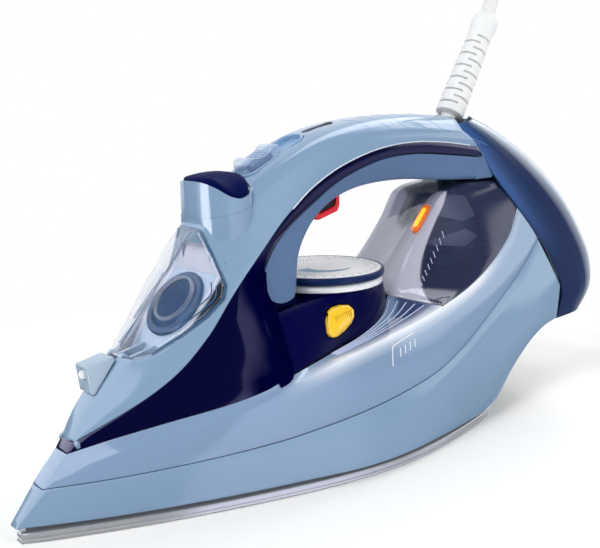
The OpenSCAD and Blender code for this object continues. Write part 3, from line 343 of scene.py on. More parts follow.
def times(tree, *steps):
    """The product of several soft steps."""
    total = steps[0]
    for step in steps[1:]:
        total = add(tree, "ShaderNodeMath", [(0, total, 0), (1, step, 0)], operation="MULTIPLY")
    return total


def panel_light(tree, turn, height, sides, ends, colour, strength):
    """One light panel of the studio: four soft edges, in degrees round and above the iron."""
    shape = times(tree, ramp(tree, turn, "Value", *sides[0]), ramp(tree, turn, "Value", *sides[1], 1, 0),
                  ramp(tree, height, "Value", *ends[0]), ramp(tree, height, "Value", *ends[1], 1, 0))
    power = add(tree, "ShaderNodeMath", [(0, shape, 0), (1, strength)], operation="MULTIPLY")
    return add(tree, "ShaderNodeBackground", [("Strength", power, 0)], Color=srgb(colour))


def studio():
    """Even white light on the iron; its gloss shows a dark room with a few bright panels."""
    centre = Vector((0, 0, 0.07))
    key = centre - view_right * 0.5 - view_ahead * 0.75 + Vector((0, 0, 0.95))
    softbox("key", key, centre, (0.7, 0.7), 9)
    strip = centre + view_right * 1.0 - view_ahead * 0.55 + Vector((0, 0, 0.35))
    softbox("strip", strip, centre, (0.25, 1.1), 4)
    rim = centre + view_right * 0.5 + view_ahead * 0.9 + Vector((0, 0, 0.8))
    softbox("rim", rim, centre, (0.9, 0.5), 7)
    world = bpy.data.worlds.new("studio")
    bpy.context.scene.world = world
    world.use_nodes = True
    tree = world.node_tree
    tree.nodes.clear()
    place = add(tree, "ShaderNodeTexCoord")
    part = add(tree, "ShaderNodeSeparateXYZ", [("Vector", place, "Generated")])
    angle = add(tree, "ShaderNodeMath", [(0, part, "Y"), (1, part, "X")], operation="ARCTAN2")
    degrees = add(tree, "ShaderNodeMath", [(0, angle, 0)], operation="DEGREES")
    # Counted from -120 to 240 degrees, where no panel crosses the jump
    below = add(tree, "ShaderNodeMath", [(0, degrees, 0), (1, -120)], operation="LESS_THAN")
    full = add(tree, "ShaderNodeMath", [(0, below, 0), (1, 360)], operation="MULTIPLY")
    turn = add(tree, "ShaderNodeMath", [(0, degrees, 0), (1, full, 0)], operation="ADD")
    rise = add(tree, "ShaderNodeMath", [(0, part, "Z")], operation="ARCSINE")
    height = add(tree, "ShaderNodeMath", [(0, rise, 0)], operation="DEGREES")
    panels = [add(tree, "ShaderNodeBackground", Color=srgb("#e8ecf6"), Strength=0.05)]
    for row in PANELS:
        panels.append(panel_light(tree, turn, height, *row))
    gloss = panels[0]
    for glow in panels[1:]:
        gloss = add(tree, "ShaderNodeAddShader", [(0, gloss, 0), (1, glow, 0)])
    room = add(tree, "ShaderNodeBackground", Color=srgb("#e8edf4"), Strength=0.66)
    white = add(tree, "ShaderNodeBackground", Color=(1, 1, 1, 1), Strength=1.0)
    path = add(tree, "ShaderNodeLightPath")
    seen = add(tree, "ShaderNodeMath", [(0, path, "Is Camera Ray"), (1, path, "Is Transmission Ray")],
               operation="MAXIMUM")
    lit = add(tree, "ShaderNodeMixShader", [(0, path, "Is Glossy Ray"), (1, room, 0), (2, gloss, 0)])
    mix = add(tree, "ShaderNodeMixShader", [(0, seen, "Value"), (1, lit, 0), (2, white, 0)])
    add(tree, "ShaderNodeOutputWorld", [("Surface", mix, "Shader")])


def floor():
    """A pale floor that keeps the soft shadow close to the iron and turns to white further out."""
    mesh = bpy.data.meshes.new("floor")
    half = 4.0
    corners = [(-half, -half, 0), (half, -half, 0), (half, half, 0), (-half, half, 0)]
    mesh.from_pydata(corners, [], [(0, 1, 2, 3)])
    piece = bpy.data.objects.new("floor", mesh)
    bpy.context.scene.collection.objects.link(piece)
    # The gloss shows the light panels beyond the floor, as on a stand of clear glass
    piece.visible_glossy = False
    material = bpy.data.materials.new("floor_paper_white")
    material.use_nodes = True
    tree = material.node_tree
    tree.nodes.clear()
    place = add(tree, "ShaderNodeTexCoord")
    reach = add(tree, "ShaderNodeVectorMath", [(0, place, "Object")], operation="LENGTH")
    far = ramp(tree, reach, "Value", 0.13, 0.34)
    path = add(tree, "ShaderNodeLightPath")
    seen = add(tree, "ShaderNodeMath", [(0, path, "Is Camera Ray"), (1, path, "Is Transmission Ray")],
               operation="MAXIMUM")
    white = add(tree, "ShaderNodeMath", [(0, seen, "Value"), (1, far, "Result")], operation="MULTIPLY")
    paper = add(tree, "ShaderNodeBsdfDiffuse", Color=srgb("#fffdf9"))
    glow = add(tree, "ShaderNodeEmission", Color=(1, 1, 1, 1), Strength=1.0)
    mix = add(tree, "ShaderNodeMixShader", [(0, white, "Value"), (1, paper, "BSDF"), (2, glow, "Emission")])
    add(tree, "ShaderNodeOutputMaterial", [("Surface", mix, "Shader")])
    mesh.materials.append(material)


studio()
floor()
bpy.context.scene.view_settings.view_transform = "Standard"


# ---- lines and grids -----------------------------------------------------------------------------
def smooth(points, steps):
    """A line through the points, with an even turn at each."""
    points = [np.array(p, dtype=float) for p in points]
    last = len(points) - 1
    out = []
    for i in range(last * steps + 1):
        k = min(i // steps, last - 1)
        t = i / steps - k
        a, b = points[max(k - 1, 0)], points[k]
        c, d = points[k + 1], points[min(k + 2, last)]
        out.append(0.5 * (2 * b + (c - a) * t + (2 * a - 5 * b + 4 * c - d) * t * t
                          + (3 * b - a - 3 * c + d) * t ** 3))
    return np.array(out)


# How many stations a guide has from one of its points to the next
STATIONS = 6


def guide(points, steps=STATIONS):
    """A shell's guide, from millimetres behind the nose to metres about the middle."""
    line = smooth(points, steps)
    line[:, 0] -= MIDDLE
    return line * MM


def mirrored(line):
    """A line's like on the far side."""
    return line * np.array([1, -1, 1])


def around(line):
    """From the far rear, round the nose, to the near rear."""
    return np.concatenate([mirrored(line)[::-1], line])


def band(a, b, push, cuts):
    """Rows between two lines, bulged outwards by a share of the half width."""
    rows = []
    for t in cuts:
        row = a * (1 - t) + b * t
        row[:, 1] *= 1 + push * 4 * t * (1 - t)
        rows.append(row)
    return rows


def even(count):
    """Shares from 0 to 1 in equal steps."""
    return [k / count for k in range(count + 1)]


def over(rows):
    """Rows of the near side, and after them the same rows down the far side."""
    return rows + [mirrored(row) for row in reversed(rows)]


def new_piece(name, mesh, material):
    """A mesh as a piece of the scene."""
    piece = bpy.data.objects.new(name, mesh)
    bpy.context.scene.collection.objects.link(piece)
    if material:
        mesh.materials.append(material)
    return piece


def grid_piece(name, rows, material, closed=False):
    """A sheet of quads through rows of points; its faces point outwards."""
    n = len(rows[0])
    points = [tuple(p) for row in rows for p in row]
    faces = []
    for j in range(len(rows) - 1):
        for i in range(n if closed else n - 1):
            k = (i + 1) % n
            faces.append((j * n + i, j * n + k, (j + 1) * n + k, (j + 1) * n + i))
    mesh = bpy.data.meshes.new(name)
    mesh.from_pydata(points, [], faces)
    return new_piece(name, mesh, material)


def closed_up(piece, sharp=35):
    """Closes a piece's open ends, turns its faces outwards and smooths it."""
    shape = bmesh.new()
    shape.from_mesh(piece.data)
    bmesh.ops.remove_doubles(shape, verts=shape.verts, dist=1e-7)
    bmesh.ops.holes_fill(shape, edges=[e for e in shape.edges if e.is_boundary], sides=0)
    bmesh.ops.recalc_face_normals(shape, faces=shape.faces)
    shape.to_mesh(piece.data)
    shape.free()
    piece.data.shade_smooth()
    piece.data.set_sharp_from_angle(angle=math.radians(sharp))
    return piece


def finish_mesh(piece, sharp=35):
    """Makes the modifiers' result the mesh, smooth but for its sharp edges."""
    depsgraph = bpy.context.evaluated_depsgraph_get()
    mesh = bpy.data.meshes.new_from_object(piece.evaluated_get(depsgraph))
    piece.modifiers.clear()
    piece.data = mesh
    mesh.shade_smooth()
    mesh.set_sharp_from_angle(angle=math.radians(sharp))
    return piece


def cut(piece, cutter, operation="DIFFERENCE"):
    """Cuts one piece by another; finish_mesh carries it out."""
    tool = piece.modifiers.new("cut", "BOOLEAN")
    tool.operation = operation
    tool.solver = "EXACT"
    tool.object = cutter


def clean_up(*helpers):
    """Removes pieces that only served to shape others."""
    for helper in helpers:
        bpy.data.objects.remove(helper)


def rounded_rim(piece, width, sharp=32, segments=2):
    """Rounds the sharp edges by a width in millimetres."""
    tool = piece.modifiers.new("rim", "BEVEL")
    tool.width = width * MM
    tool.segments = segments
    tool.limit_method = "ANGLE"
    tool.angle_limit = math.radians(sharp)
    tool.use_clamp_overlap = True
    tool.harden_normals = False


def made(piece, holes=(), keep=None, rim=None, sharp=35):
    """Cuts the holes, keeps what lies in a blank, rounds the rim and leaves one plain mesh."""
    for hole in holes:
        cut(piece, hole)
    if keep:
        cut(piece, keep, "INTERSECT")
    if rim:
        rounded_rim(piece, *rim)
    finish_mesh(piece, sharp)
    clean_up(*holes, *([keep] if keep else []))
    return piece


def walled(piece, thickness):
    """Gives a sheet its thickness, inwards."""
    tool = piece.modifiers.new("wall", "SOLIDIFY")
    tool.thickness = thickness
    tool.offset = -1
    tool.use_even_offset = True


def prism(name, outline, low, high, pose=Matrix.Identity(4), material=None):
    """A closed prism: outline in the pose's X and Y, from low to high millimetres along its Z."""
    n = len(outline)
    points = [pose @ Vector((x, y, z * MM)) for z in (low, high) for x, y in outline]
    faces = [tuple(reversed(range(n))), tuple(range(n, 2 * n))]
    faces += [(i, (i + 1) % n, n + (i + 1) % n, n + i) for i in range(n)]
    mesh = bpy.data.meshes.new(name)
    mesh.from_pydata([tuple(p) for p in points], [], faces)
    shape = bmesh.new()
    shape.from_mesh(mesh)
    bmesh.ops.recalc_face_normals(shape, faces=shape.faces)
    shape.to_mesh(mesh)
    shape.free()
    return new_piece(name, mesh, material)


# Turns a prism's X, Y, Z into the iron's X, Z, -Y, for an outline drawn on its side
ON_SIDE = Matrix(((1, 0, 0, 0), (0, 0, -1, 0), (0, 1, 0, 0), (0, 0, 0, 1)))


def at(x, y=0.0, z=0.0):
    """A pose at a point in millimetres, with x counted from the nose of the plate."""
    return Matrix.Translation(((x - MIDDLE) * MM, y * MM, z * MM))


def leaned(point, lean):
    """A pose at a point, leaned back about Y by degrees."""
    return at(*point) @ Matrix.Rotation(-math.radians(lean), 4, "Y")


def from_nose(p):
    """How far behind the nose a point is, in millimetres."""
    return p[0] / MM + MIDDLE


def distance(line, p):
    """Millimetres from a point of either side to a line of the near side."""
    return float(np.min(np.linalg.norm(line - np.array([p[0], -abs(p[1]), p[2]]), axis=1))) / MM


def both_sides(*lines):
    """The near side's lines, and the same on the far side."""
    return [*lines, *([(x, -y, z) for x, y, z in line] for line in lines)]


def whole_plan(near):
    """A closed plan from its near half."""
    return near + [(x, -y) for x, y in reversed(near)]


def filleted(points, radius, steps=5):
    """Rounds each corner of a closed outline, but for the nearly straight ones."""
    out = []
    n = len(points)
    for k in range(n):
        p, a, b = (np.array(points[(k + s) % n], dtype=float) for s in (0, -1, 1))
        u, v = a - p, b - p
        lu, lv = np.linalg.norm(u), np.linalg.norm(v)
        u, v = u / lu, v / lv
        angle = math.acos(max(-1, min(1, float(u @ v))))
        if angle > math.radians(176):
            out.append(tuple(p))
            continue
        reach = min(radius / math.tan(angle / 2), 0.48 * lu, 0.48 * lv)
        r = reach * math.tan(angle / 2)
        centre = p + (u + v) / np.linalg.norm(u + v) * (r / math.sin(angle / 2))
        start = p + u * reach - centre
        end = p + v * reach - centre
        for s in range(steps + 1):
            t = s / steps
            d = start * (1 - t) + end * t
            out.append(tuple(centre + d / np.linalg.norm(d) * r))
    return out


def side_outline(points, radius=0.0):
    """An outline drawn from the side in millimetres, as metres in the frame, with rounded corners."""
    flat = [((x - MIDDLE) * MM, z * MM) for x, z in points]
    return filleted(flat, radius * MM) if radius else flat


def side_block(name, points, radius, half, material=None):
    """A block with rounded corners, drawn from its side, as wide as twice its half."""
    return prism(name, side_outline(points, radius), -half, half, ON_SIDE, material)


def grown(outline, gap):
    """An outline moved outwards by a gap."""
    n = len(outline)
    after = [outline[(k + 1) % n] for k in range(n)]
    area = sum(a[0] * b[1] - b[0] * a[1] for a, b in zip(outline, after))
    turn = 1 if area > 0 else -1
    out = []
    for k in range(n):
        a, b = np.array(outline[k - 1]), np.array(after[k])
        d = b - a
        d = d / max(np.linalg.norm(d), 1e-9)
        out.append((outline[k][0] + turn * gap * d[1], outline[k][1] - turn * gap * d[0]))
    return out


def lathe(name, profile, material, pose=Matrix.Identity(4), turns=96):
    """A turned piece: profile is (radius, height) in millimetres, from the bottom up, outside first."""
    rows = [[pose @ Vector((r * MM * math.cos(a), r * MM * math.sin(a), h * MM))
             for a in (2 * math.pi * k / turns for k in range(turns))] for r, h in profile]
    return closed_up(grid_piece(name, rows, material, closed=True))


def stem_outline(low, high, radius=2.0, edge=0.3):
    """The profile of a round stem with broken edges."""
    inner = radius - edge
    return [(0, low), (inner, low), (radius, low + edge), (radius, high - edge), (inner, high), (0, high)]


def stands_for(piece, body, slot, *names):
    """Hides the solids that a piece replaces and sets the body it rides on; its colour slot is not used."""
    if names:
        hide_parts(*names)
    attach(piece, body)
    return piece


# ---- repeated details ----------------------------------------------------------------------------
def node_tree(name, inputs):
    """An empty Geometry Nodes tree with a geometry socket and the named inputs."""
    tree = bpy.data.node_groups.new(name, "GeometryNodeTree")
    tree.interface.new_socket("Geometry", in_out="INPUT", socket_type="NodeSocketGeometry")
    for label, kind in inputs:
        tree.interface.new_socket(label, in_out="INPUT", socket_type="NodeSocket" + kind)
    tree.interface.new_socket("Geometry", in_out="OUTPUT", socket_type="NodeSocketGeometry")
    return tree, tree.nodes.new("NodeGroupInput")


def hand_out(tree, given, source):
    """Makes a tree's result real, gives it its material and passes it on."""
    real = add(tree, "GeometryNodeRealizeInstances", [("Geometry", source, 0)])
    done = add(tree, "GeometryNodeSetMaterial",
               [("Geometry", real, "Geometry"), ("Material", given, "Material")])
    add(tree, "NodeGroupOutput", [("Geometry", done, "Geometry")])
    return tree


def repeat_tree():
    """Places a unit at each point, turned and sized by the point's own values."""
    tree, given = node_tree("repeat", [("Unit", "Object"), ("Scale", "Float"), ("Material", "Material")])
    unit = add(tree, "GeometryNodeObjectInfo", [("Object", given, "Unit")])
    turn = add(tree, "GeometryNodeInputNamedAttribute", data_type="FLOAT_VECTOR", Name="turn")
    size = add(tree, "GeometryNodeInputNamedAttribute", data_type="FLOAT_VECTOR", Name="size")
    facing = add(tree, "FunctionNodeEulerToRotation", [("Euler", turn, "Attribute")])
    scaled = add(tree, "ShaderNodeVectorMath", [(0, size, "Attribute"), ("Scale", given, "Scale")],
                 operation="SCALE")
    placed = add(tree, "GeometryNodeInstanceOnPoints",
                 [("Points", given, "Geometry"), ("Instance", unit, "Geometry"),
                  ("Rotation", facing, "Rotation"), ("Scale", scaled, "Vector")])
    return hand_out(tree, given, placed)


def wire_tree():
    """Runs a round bead along the edges of a mesh."""
    tree, given = node_tree("wire", [("Radius", "Float"), ("Sides", "Int"), ("Material", "Material")])
    line = add(tree, "GeometryNodeMeshToCurve", [("Mesh", given, "Geometry")])
    ring = add(tree, "GeometryNodeCurvePrimitiveCircle",
               [("Radius", given, "Radius"), ("Resolution", given, "Sides")])
    bead = add(tree, "GeometryNodeCurveToMesh",
               [("Curve", line, "Curve"), ("Profile Curve", ring, "Curve"), ("Fill Caps", True)])
    return hand_out(tree, given, bead)


def grow_by_nodes(piece, tree, **values):
    """Runs a tree on a piece and keeps the result as its plain mesh."""
    tool = piece.modifiers.new(tree.name, "NODES")
    tool.node_group = tree
    for item in tree.interface.items_tree:
        if item.in_out == "INPUT" and item.name in values:
            tool[item.identifier] = values[item.name]
    return finish_mesh(piece, 40)


def repeated(name, unit, places, material, scale=1.0):
    """One piece of many like units; a place is its position, its turn and its size."""
    mesh = bpy.data.meshes.new(name)
    mesh.from_pydata([tuple(place[0]) for place in places], [], [])
    for key, column in (("turn", 1), ("size", 2)):
        values = mesh.attributes.new(key, "FLOAT_VECTOR", "POINT")
        values.data.foreach_set("vector", [c for place in places for c in place[column]])
    piece = new_piece(name, mesh, None)
    return grow_by_nodes(piece, REPEAT, Unit=unit, Scale=scale, Material=material)


def beads(name, lines, radius, material, sides=6):
    """Fine raised or printed lines along the given points."""
    points = [tuple(p) for line in lines for p in line]
    edges, first = [], 0
    for line in lines:
        edges += [(first + k, first + k + 1) for k in range(len(line) - 1)]
        first += len(line)
    mesh = bpy.data.meshes.new(name)
    mesh.from_pydata(points, edges, [])
    piece = new_piece(name, mesh, None)
    return grow_by_nodes(piece, WIRE, Radius=radius * MM, Sides=sides, Material=material)


def block_unit(name, length, width, height, round_by=0.3):
    """A small bar with rounded edges, about its own middle."""
    mesh = bpy.data.meshes.new(name)
    shape = bmesh.new()
    bmesh.ops.create_cube(shape, size=1.0)
    length, width, height = length * MM, width * MM, height * MM
    bmesh.ops.scale(shape, vec=(length, width, height), verts=shape.verts)
    bmesh.ops.bevel(shape, geom=list(shape.edges), offset=round_by * min(length, width, height), segments=2,
                    profile=0.5, affect="EDGES")
    shape.to_mesh(mesh)
    shape.free()
    return new_piece(name, mesh, None)


REPEAT = repeat_tree()
WIRE = wire_tree()


# ---- cord, coil and plug -------------------------------------------------------------------------
CORD_R = 4 * MM
# The lead's middle from the cord guard down to the coil, in millimetres of the frame
route = [
    (129.1, 0, 210.2), (134, 0, 222), (139, -1, 235), (146, -5, 246), (154, -12, 255), (165, -20, 260),
    (177, -29, 260), (188, -37, 255), (197, -43, 246), (204, -48, 234), (209, -51, 219), (212, -53, 202),
    (215, -55, 183), (216, -56, 160), (217, -57, 135), (218, -57, 110), (219.4, -58, 86),
    (220.6, -58.7, 67), (221, -59, 48.8), (226.1, -61.9, 26.8), (234.7, -66.7, 15.1), (246.2, -73.2, 7.5),
    (259.3, -80.6, 4.8), (269.5, -85.9, 4.8), (279.9, -91.3, 4.8),
]
coil_centre = (303, -47)
# The coil is wound in three layers: inwards, outwards and inwards again
COIL_OUTER, COIL_INNER, LAYERS = 50, 36, 3
# Where the winding starts and ends, in degrees
COIL_FROM, COIL_TO = -117.5, 119.7 - 180 + 5 * 360
# The lead's middle lies this high on the floor, each layer of the coil this much higher, and the plug here
LEAD_Z, LAYER_UP, PLUG_Z = 4.8, 8, 41.85


def eased(t):
    """A share from 0 to 1 that starts and ends softly."""
    t = min(max(t, 0), 1)
    return t * t * (3 - 2 * t)


def coil_points(step=9):
    """The wound turns, and the last half turn that climbs to the plug."""
    span = (COIL_TO - COIL_FROM) / LAYERS
    points = []
    for k in range(1, int((COIL_TO - COIL_FROM + 180) / step) + 1):
        angle = COIL_FROM + step * k
        turned = min(angle - COIL_FROM, COIL_TO - COIL_FROM)
        layer = min(int(turned / span), LAYERS - 1)
        along_layer = turned / span - layer
        inwards = along_layer if layer % 2 == 0 else 1 - along_layer
        r = COIL_OUTER + (COIL_INNER - COIL_OUTER) * inwards
        z = LEAD_Z
        for end in range(1, LAYERS):
            z += LAYER_UP * eased((turned - end * span) / 96 + 0.5)
        z += (PLUG_Z - LEAD_Z - LAYER_UP * (LAYERS - 1)) * eased((angle - COIL_TO + 25) / 205)
        a = math.radians(angle)
        points.append((coil_centre[0] + r * math.cos(a), coil_centre[1] + r * math.sin(a), z))
    return points


def swept_tube(name, line, radius, material, sides=16):
    """A round tube along a line, with closed ends."""
    line = np.array(line)
    n = len(line)
    tangents = np.gradient(line, axis=0)
    tangents /= np.linalg.norm(tangents, axis=1)[:, None]
    side = np.cross(np.array([0.02, 0.55, 0.83]), tangents[0])
    side /= np.linalg.norm(side)
    rows = []
    for k in range(n):
        side = side - tangents[k] * (side @ tangents[k])
        side /= np.linalg.norm(side)
        other = np.cross(tangents[k], side)
        rows.append([tuple(line[k] + radius * (math.cos(a) * side + math.sin(a) * other))
                     for a in (2 * math.pi * s / sides for s in range(sides))])
    return closed_up(grid_piece(name, rows, material, closed=True), 60)


def add_plug():
    """A round moulded plug with grip grooves, on the end of the wound lead."""
    end = np.array(coil_points()[-1]) * MM
    turn = math.radians(-150.3)
    pose = Matrix.Translation(end) @ Matrix.Rotation(turn, 4, "Z") @ Matrix.Rotation(math.pi / 2, 4, "Y")
    body = [(0, 0), (5.2, 0), (5.6, 0.6), (7.2, 12), (8, 16), (10.8, 16.6), (13.4, 19), (15.6, 21.6),
            (16.6, 23.6)]
    for k in range(4):
        body += [(17, 25 + 3 * k), (17, 26.4 + 3 * k), (16.3, 26.8 + 3 * k), (16.3, 27.6 + 3 * k)]
    body += [(17, 37.4), (17, 44.4), (16.5, 45.4), (15.4, 46), (0, 46)]
    piece = lathe("plug_body", body, plug_vinyl, pose, 64)
    return stands_for(piece, "iron", "cord_white", "mains_plug")


def add_cord():
    """The supply lead as one tube, with its plug and the solids that go with it."""
    line = np.concatenate([smooth(route, 4), np.array(coil_points())]) * MM
    piece = swept_tube("supply_cord", line, CORD_R, cord_vinyl)
    stands_for(piece, "iron", "cord_white", "mains_cord", "cord_coil", "plug_lead")
    add_plug()


add_cord()


# ---- guides of the shells, near side, nose to heel, in millimetres -------------------------------
sole_edge = [
    [0, -1.6], [5, -5], [18, -11.6], [36, -20], [64, -31.5], [102, -44.5], [132, -52.5], [158, -56.4],
    [185, -56], [210, -52.6], [232, -48.2], [246, -43], [254, -34], [256.5, -18],
]
shell_foot = guide([
    [-2, -2.6, 7.6], [24, -15.5, 7], [48, -26.5, 7], [72, -36, 7], [92, -43, 7], [108, -48, 7],
    [134, -55.8, 7], [160, -58.5, 7], [190, -56.5, 7], [212, -53.5, 7], [230, -50.8, 7.4], [244, -49, 11],
    [259, -47.6, 23], [274, -46.8, 33], [289, -46, 39.5], [304.6, -45, 42],
])
shell_crease = guide([
    [4, -3.4, 14.5], [27, -16.8, 15], [50, -27.8, 16], [74, -37.2, 17], [93, -43.8, 18],
    [108, -48.4, 18.6], [134, -55.2, 19.4], [160, -57.2, 20], [190, -55.4, 20.6], [213, -52.6, 22],
    [232, -50.4, 25], [247, -48.8, 31], [262, -47.6, 39], [277, -46.6, 47], [292, -45.4, 54],
    [309.6, -43.6, 60],
])
tank_foot = guide([
    [9.5, -4.2, 21], [30, -17, 22.5], [52, -28, 24], [76, -37.2, 25.4], [94, -42.8, 26.6],
    [108, -46.8, 28], [134, -51.8, 30.8], [160, -53.2, 33.6], [190, -51.6, 37.6], [213, -48.8, 44],
    [228, -46.8, 50.2], [242, -44.8, 56.6], [256, -42.6, 63.2], [271, -40.2, 70.4], [285, -37.8, 78.4],
    [298.4, -35, 87.5],
])
tank_shoulder = guide([
    [15, -4.4, 27], [33, -16, 31], [54, -26.6, 35.6], [76, -36.4, 40.4], [93, -42.2, 45.6],
    [107, -45.4, 50.6], [131, -48.2, 56.4], [158, -47.6, 60], [186, -45.6, 63.6], [204, -44, 66.4],
    [218, -42.6, 69.2], [232, -40.8, 72.8], [247, -38.4, 78], [262, -35.6, 85], [276, -32.4, 93.6],
    [288, -28, 105],
])
tank_brow = guide([
    [20.5, -4.6, 32.5], [37, -14, 37], [56, -24.4, 41.4], [76, -33.4, 45], [92, -39.4, 48.6],
    [104.5, -42, 52.6], [129, -40, 56.6], [156, -34, 59], [176, -28.4, 63.6], [190, -20, 70.4],
    [201, -16.5, 79], [213, -15.5, 91], [225, -16, 104], [236, -17, 116.5], [255, -18, 120.5],
    [277, -19, 120.5],
])
panel_foot = guide([
    [20.5, -4.6, 32.5], [37, -14, 37], [56, -24.4, 41.4], [76, -33.4, 45], [92, -39.4, 48.6],
    [104.5, -42, 52.6], [108, -34.5, 64], [110, -26.5, 76], [105.5, -24.5, 90], [113, -23, 103],
    [124, -21.8, 112], [140, -20.8, 121.5], [160, -20.2, 131], [186, -20, 138], [211, -20, 139.5],
    [238, -20.4, 137.5], [265.5, -20.6, 134.5],
])
panel_brow = guide([
    [23.5, -4.9, 36.5], [35, -11.4, 43], [51, -18.6, 52], [65, -22, 61], [78, -23.8, 73], [88, -24.4, 85],
    [96, -24.4, 93.5], [104.5, -24, 101.5], [110, -23.6, 106.5], [118, -22.8, 113.5], [127, -21.8, 120],
    [141, -20.9, 129], [160, -20.2, 137], [184, -20, 143], [209, -20, 145], [235, -20.4, 143.5],
    [261, -20.4, 140],
])
ridge_edge = guide([
    [23.8, -4.7, 37], [29.5, -5, 46.5], [38.6, -5.2, 57], [47.6, -5.4, 67], [58, -5.7, 80],
    [67.4, -6, 93], [73, -6.2, 99], [77, -6.4, 104.5], [82, -7, 109.5], [90, -9.5, 115],
    [100, -13, 121.6], [114, -15.2, 128.8], [132, -16.6, 138], [156, -17.2, 147], [184, -17.6, 151.4],
    [216, -17.8, 152.2], [250, -18.4, 149.4],
])
ridge_top = guide([
    [23, -1.6, 36.8], [29, -1.8, 46.5], [38, -2, 57], [47, -2.2, 67], [57.2, -2.4, 80.2],
    [66.6, -2.6, 93.4], [72.2, -2.8, 99.6], [76.2, -3, 105.2], [81, -3.6, 110.8], [89, -5, 117],
    [99, -7, 124.4], [113, -8.6, 132.8], [131, -9.6, 142.4], [155, -10, 151.6], [184, -10.2, 156.6],
    [216, -10.4, 157.8], [250, -10.6, 156.2],
])
grip_brow = guide([
    [111, -24.6, 79.5], [106.5, -24, 90], [114, -22.7, 103], [125, -21.4, 112], [141, -20.4, 121],
    [160, -19.8, 130.4], [186, -19.6, 137.4], [211, -19.6, 139], [238, -20, 137], [265.5, -20.2, 134],
])
grip_edge = guide([
    [127, -22.6, 79.5], [128.5, -21.6, 90], [132, -20, 101], [141, -18, 111.6], [153, -16, 119],
    [168, -14.6, 124], [188, -13.8, 126.6], [211, -14.4, 126.8], [236, -16.8, 124.6], [266, -17.4, 122.6],
])
grip_keel = guide([
    [129.5, -8, 79.5], [131, -8, 90], [134.4, -8, 100.6], [143, -7, 110.6], [154.6, -6, 117.8],
    [168.6, -5, 122.8], [188, -5, 125.6], [211, -5, 126], [236, -6, 123.8], [266, -6, 122.2],
])
hump_foot = guide([
    [105.6, -41.6, 53.2], [116, -41.3, 55], [129, -39.6, 57], [143, -36.4, 58.4], [156, -34, 59.4],
    [168, -31.4, 61.6], [177, -28, 64.6], [186, -22.6, 69], [191, -15, 72.6], [195, -6, 75.6],
])
heel_front = [
    [306, -44, 41.4], [311.5, -43.6, 57], [307, -40, 73], [298.5, -34.6, 90], [287.5, -27.4, 107],
    [276.5, -20.8, 123.5], [263, -18.6, 140], [251.6, -14, 152.4],
]
heel_corner = [
    [324, -46.6, 45], [330.6, -49.6, 58], [330, -49, 74], [323.4, -45.4, 92], [312.4, -38.8, 112],
    [296, -29.2, 131.8], [279, -20.4, 145.4], [266, -13, 154],
]
heel_back = [
    [330, -20, 46], [334, -21, 59], [332, -21, 76], [325, -20, 95], [313.6, -17, 116], [298, -13, 136],
    [282, -9, 149.6], [270, -6, 156],
]
# The deck gives way to the window at the tenth point of the shoulder and the brow
DECK_END = 9 * STATIONS


def pulled(rows, low=SEAM / 2, high=SEAM / 2):
    """Takes half a seam off the first and the last row."""
    rows = [row.copy() for row in rows]
    for row, nearby, amount in ((rows[0], rows[1], low), (rows[-1], rows[-2], high)):
        away = nearby - row
        row += amount * away / np.linalg.norm(away, axis=1)[:, None]
    return rows


def rounded_rows(rows, steps):
    """Rows between the rows, so that the section turns evenly."""
    lines = [smooth([row[i] for row in rows], steps) for i in range(len(rows[0]))]
    return [np.array([line[j] for line in lines]) for j in range(len(lines[0]))]


# ---- shells --------------------------------------------------------------------------------------
def lower_rows():
    """From the foot of the body to the seam of the tank."""
    a, b, c = around(shell_foot), around(shell_crease), around(tank_foot)
    return band(a, b, 0.004, even(3)) + band(b, c, 0.012, even(4))[1:]


def tank_rows():
    """The tank's side, from the seam to its shoulder."""
    return band(around(tank_foot), around(tank_shoulder), 0.02, even(8))


def deck_rows():
    """From the shoulder inwards, slightly hollow."""
    a, b = around(tank_shoulder[:DECK_END + 1]), around(tank_brow[:DECK_END + 1])
    return band(a, b, -0.015, even(10))


def housing_rows():
    """From the side panels over the ridge of the handle."""
    a, b, c = panel_brow, ridge_edge, ridge_top
    near = [a] + band(a, b, 0.06, (0.33, 0.67)) + [b, c]
    return rounded_rows(over(near), 3)


def grip_rows():
    """Round the underside of the handle."""
    near = [grip_brow] + band(grip_brow, grip_edge, 0.02, (0.5,)) + [grip_edge, grip_keel]
    return rounded_rows(list(reversed(over(near))), 3)


def window_rows():
    """From the deck up the rear pillar and over to the far side."""
    a, b = tank_shoulder[DECK_END:].copy(), tank_brow[DECK_END:].copy()
    # The first station stands two seams back from the deck
    for row in (a, b):
        row[0] += 2 * SEAM * (row[1] - row[0]) / np.linalg.norm(row[1] - row[0])
    c = b * np.array([1, 0.4, 1]) + np.array([4 * MM, 0, 0])
    near = [a] + band(a, b, 0.03, (0.2, 0.4, 0.6, 0.8)) + [b, c]
    return rounded_rows(over(near), 2)


def heel_rows():
    """Rings round the heel cover, from its foot to the top of the handle."""
    f, c, b = (guide(g) for g in (heel_front, heel_corner, heel_back))
    rows = []
    for j in range(len(f)):
        ring = [f[j], c[j], b[j]] + [p * np.array([1, -1, 1]) for p in (b[j], c[j], f[j])]
        rows.append(smooth(ring, 6))
    return rows


def shell(name, rows, material, wall=WALL, low=SEAM / 2, high=SEAM / 2):
    """A moulded shell from its rows, with half a seam taken off both of its edges."""
    piece = grid_piece(name, pulled(rows, low, high), material)
    walled(piece, wall)
    return piece


def add_lower_shell():
    """The lower body, between the plate and the tank."""
    piece = shell("lower_shell_skin", lower_rows(), shell_blue)
    stands_for(made(piece, rim=(0.5, 24), sharp=30), "iron", "shell_blue", "lower_shell")


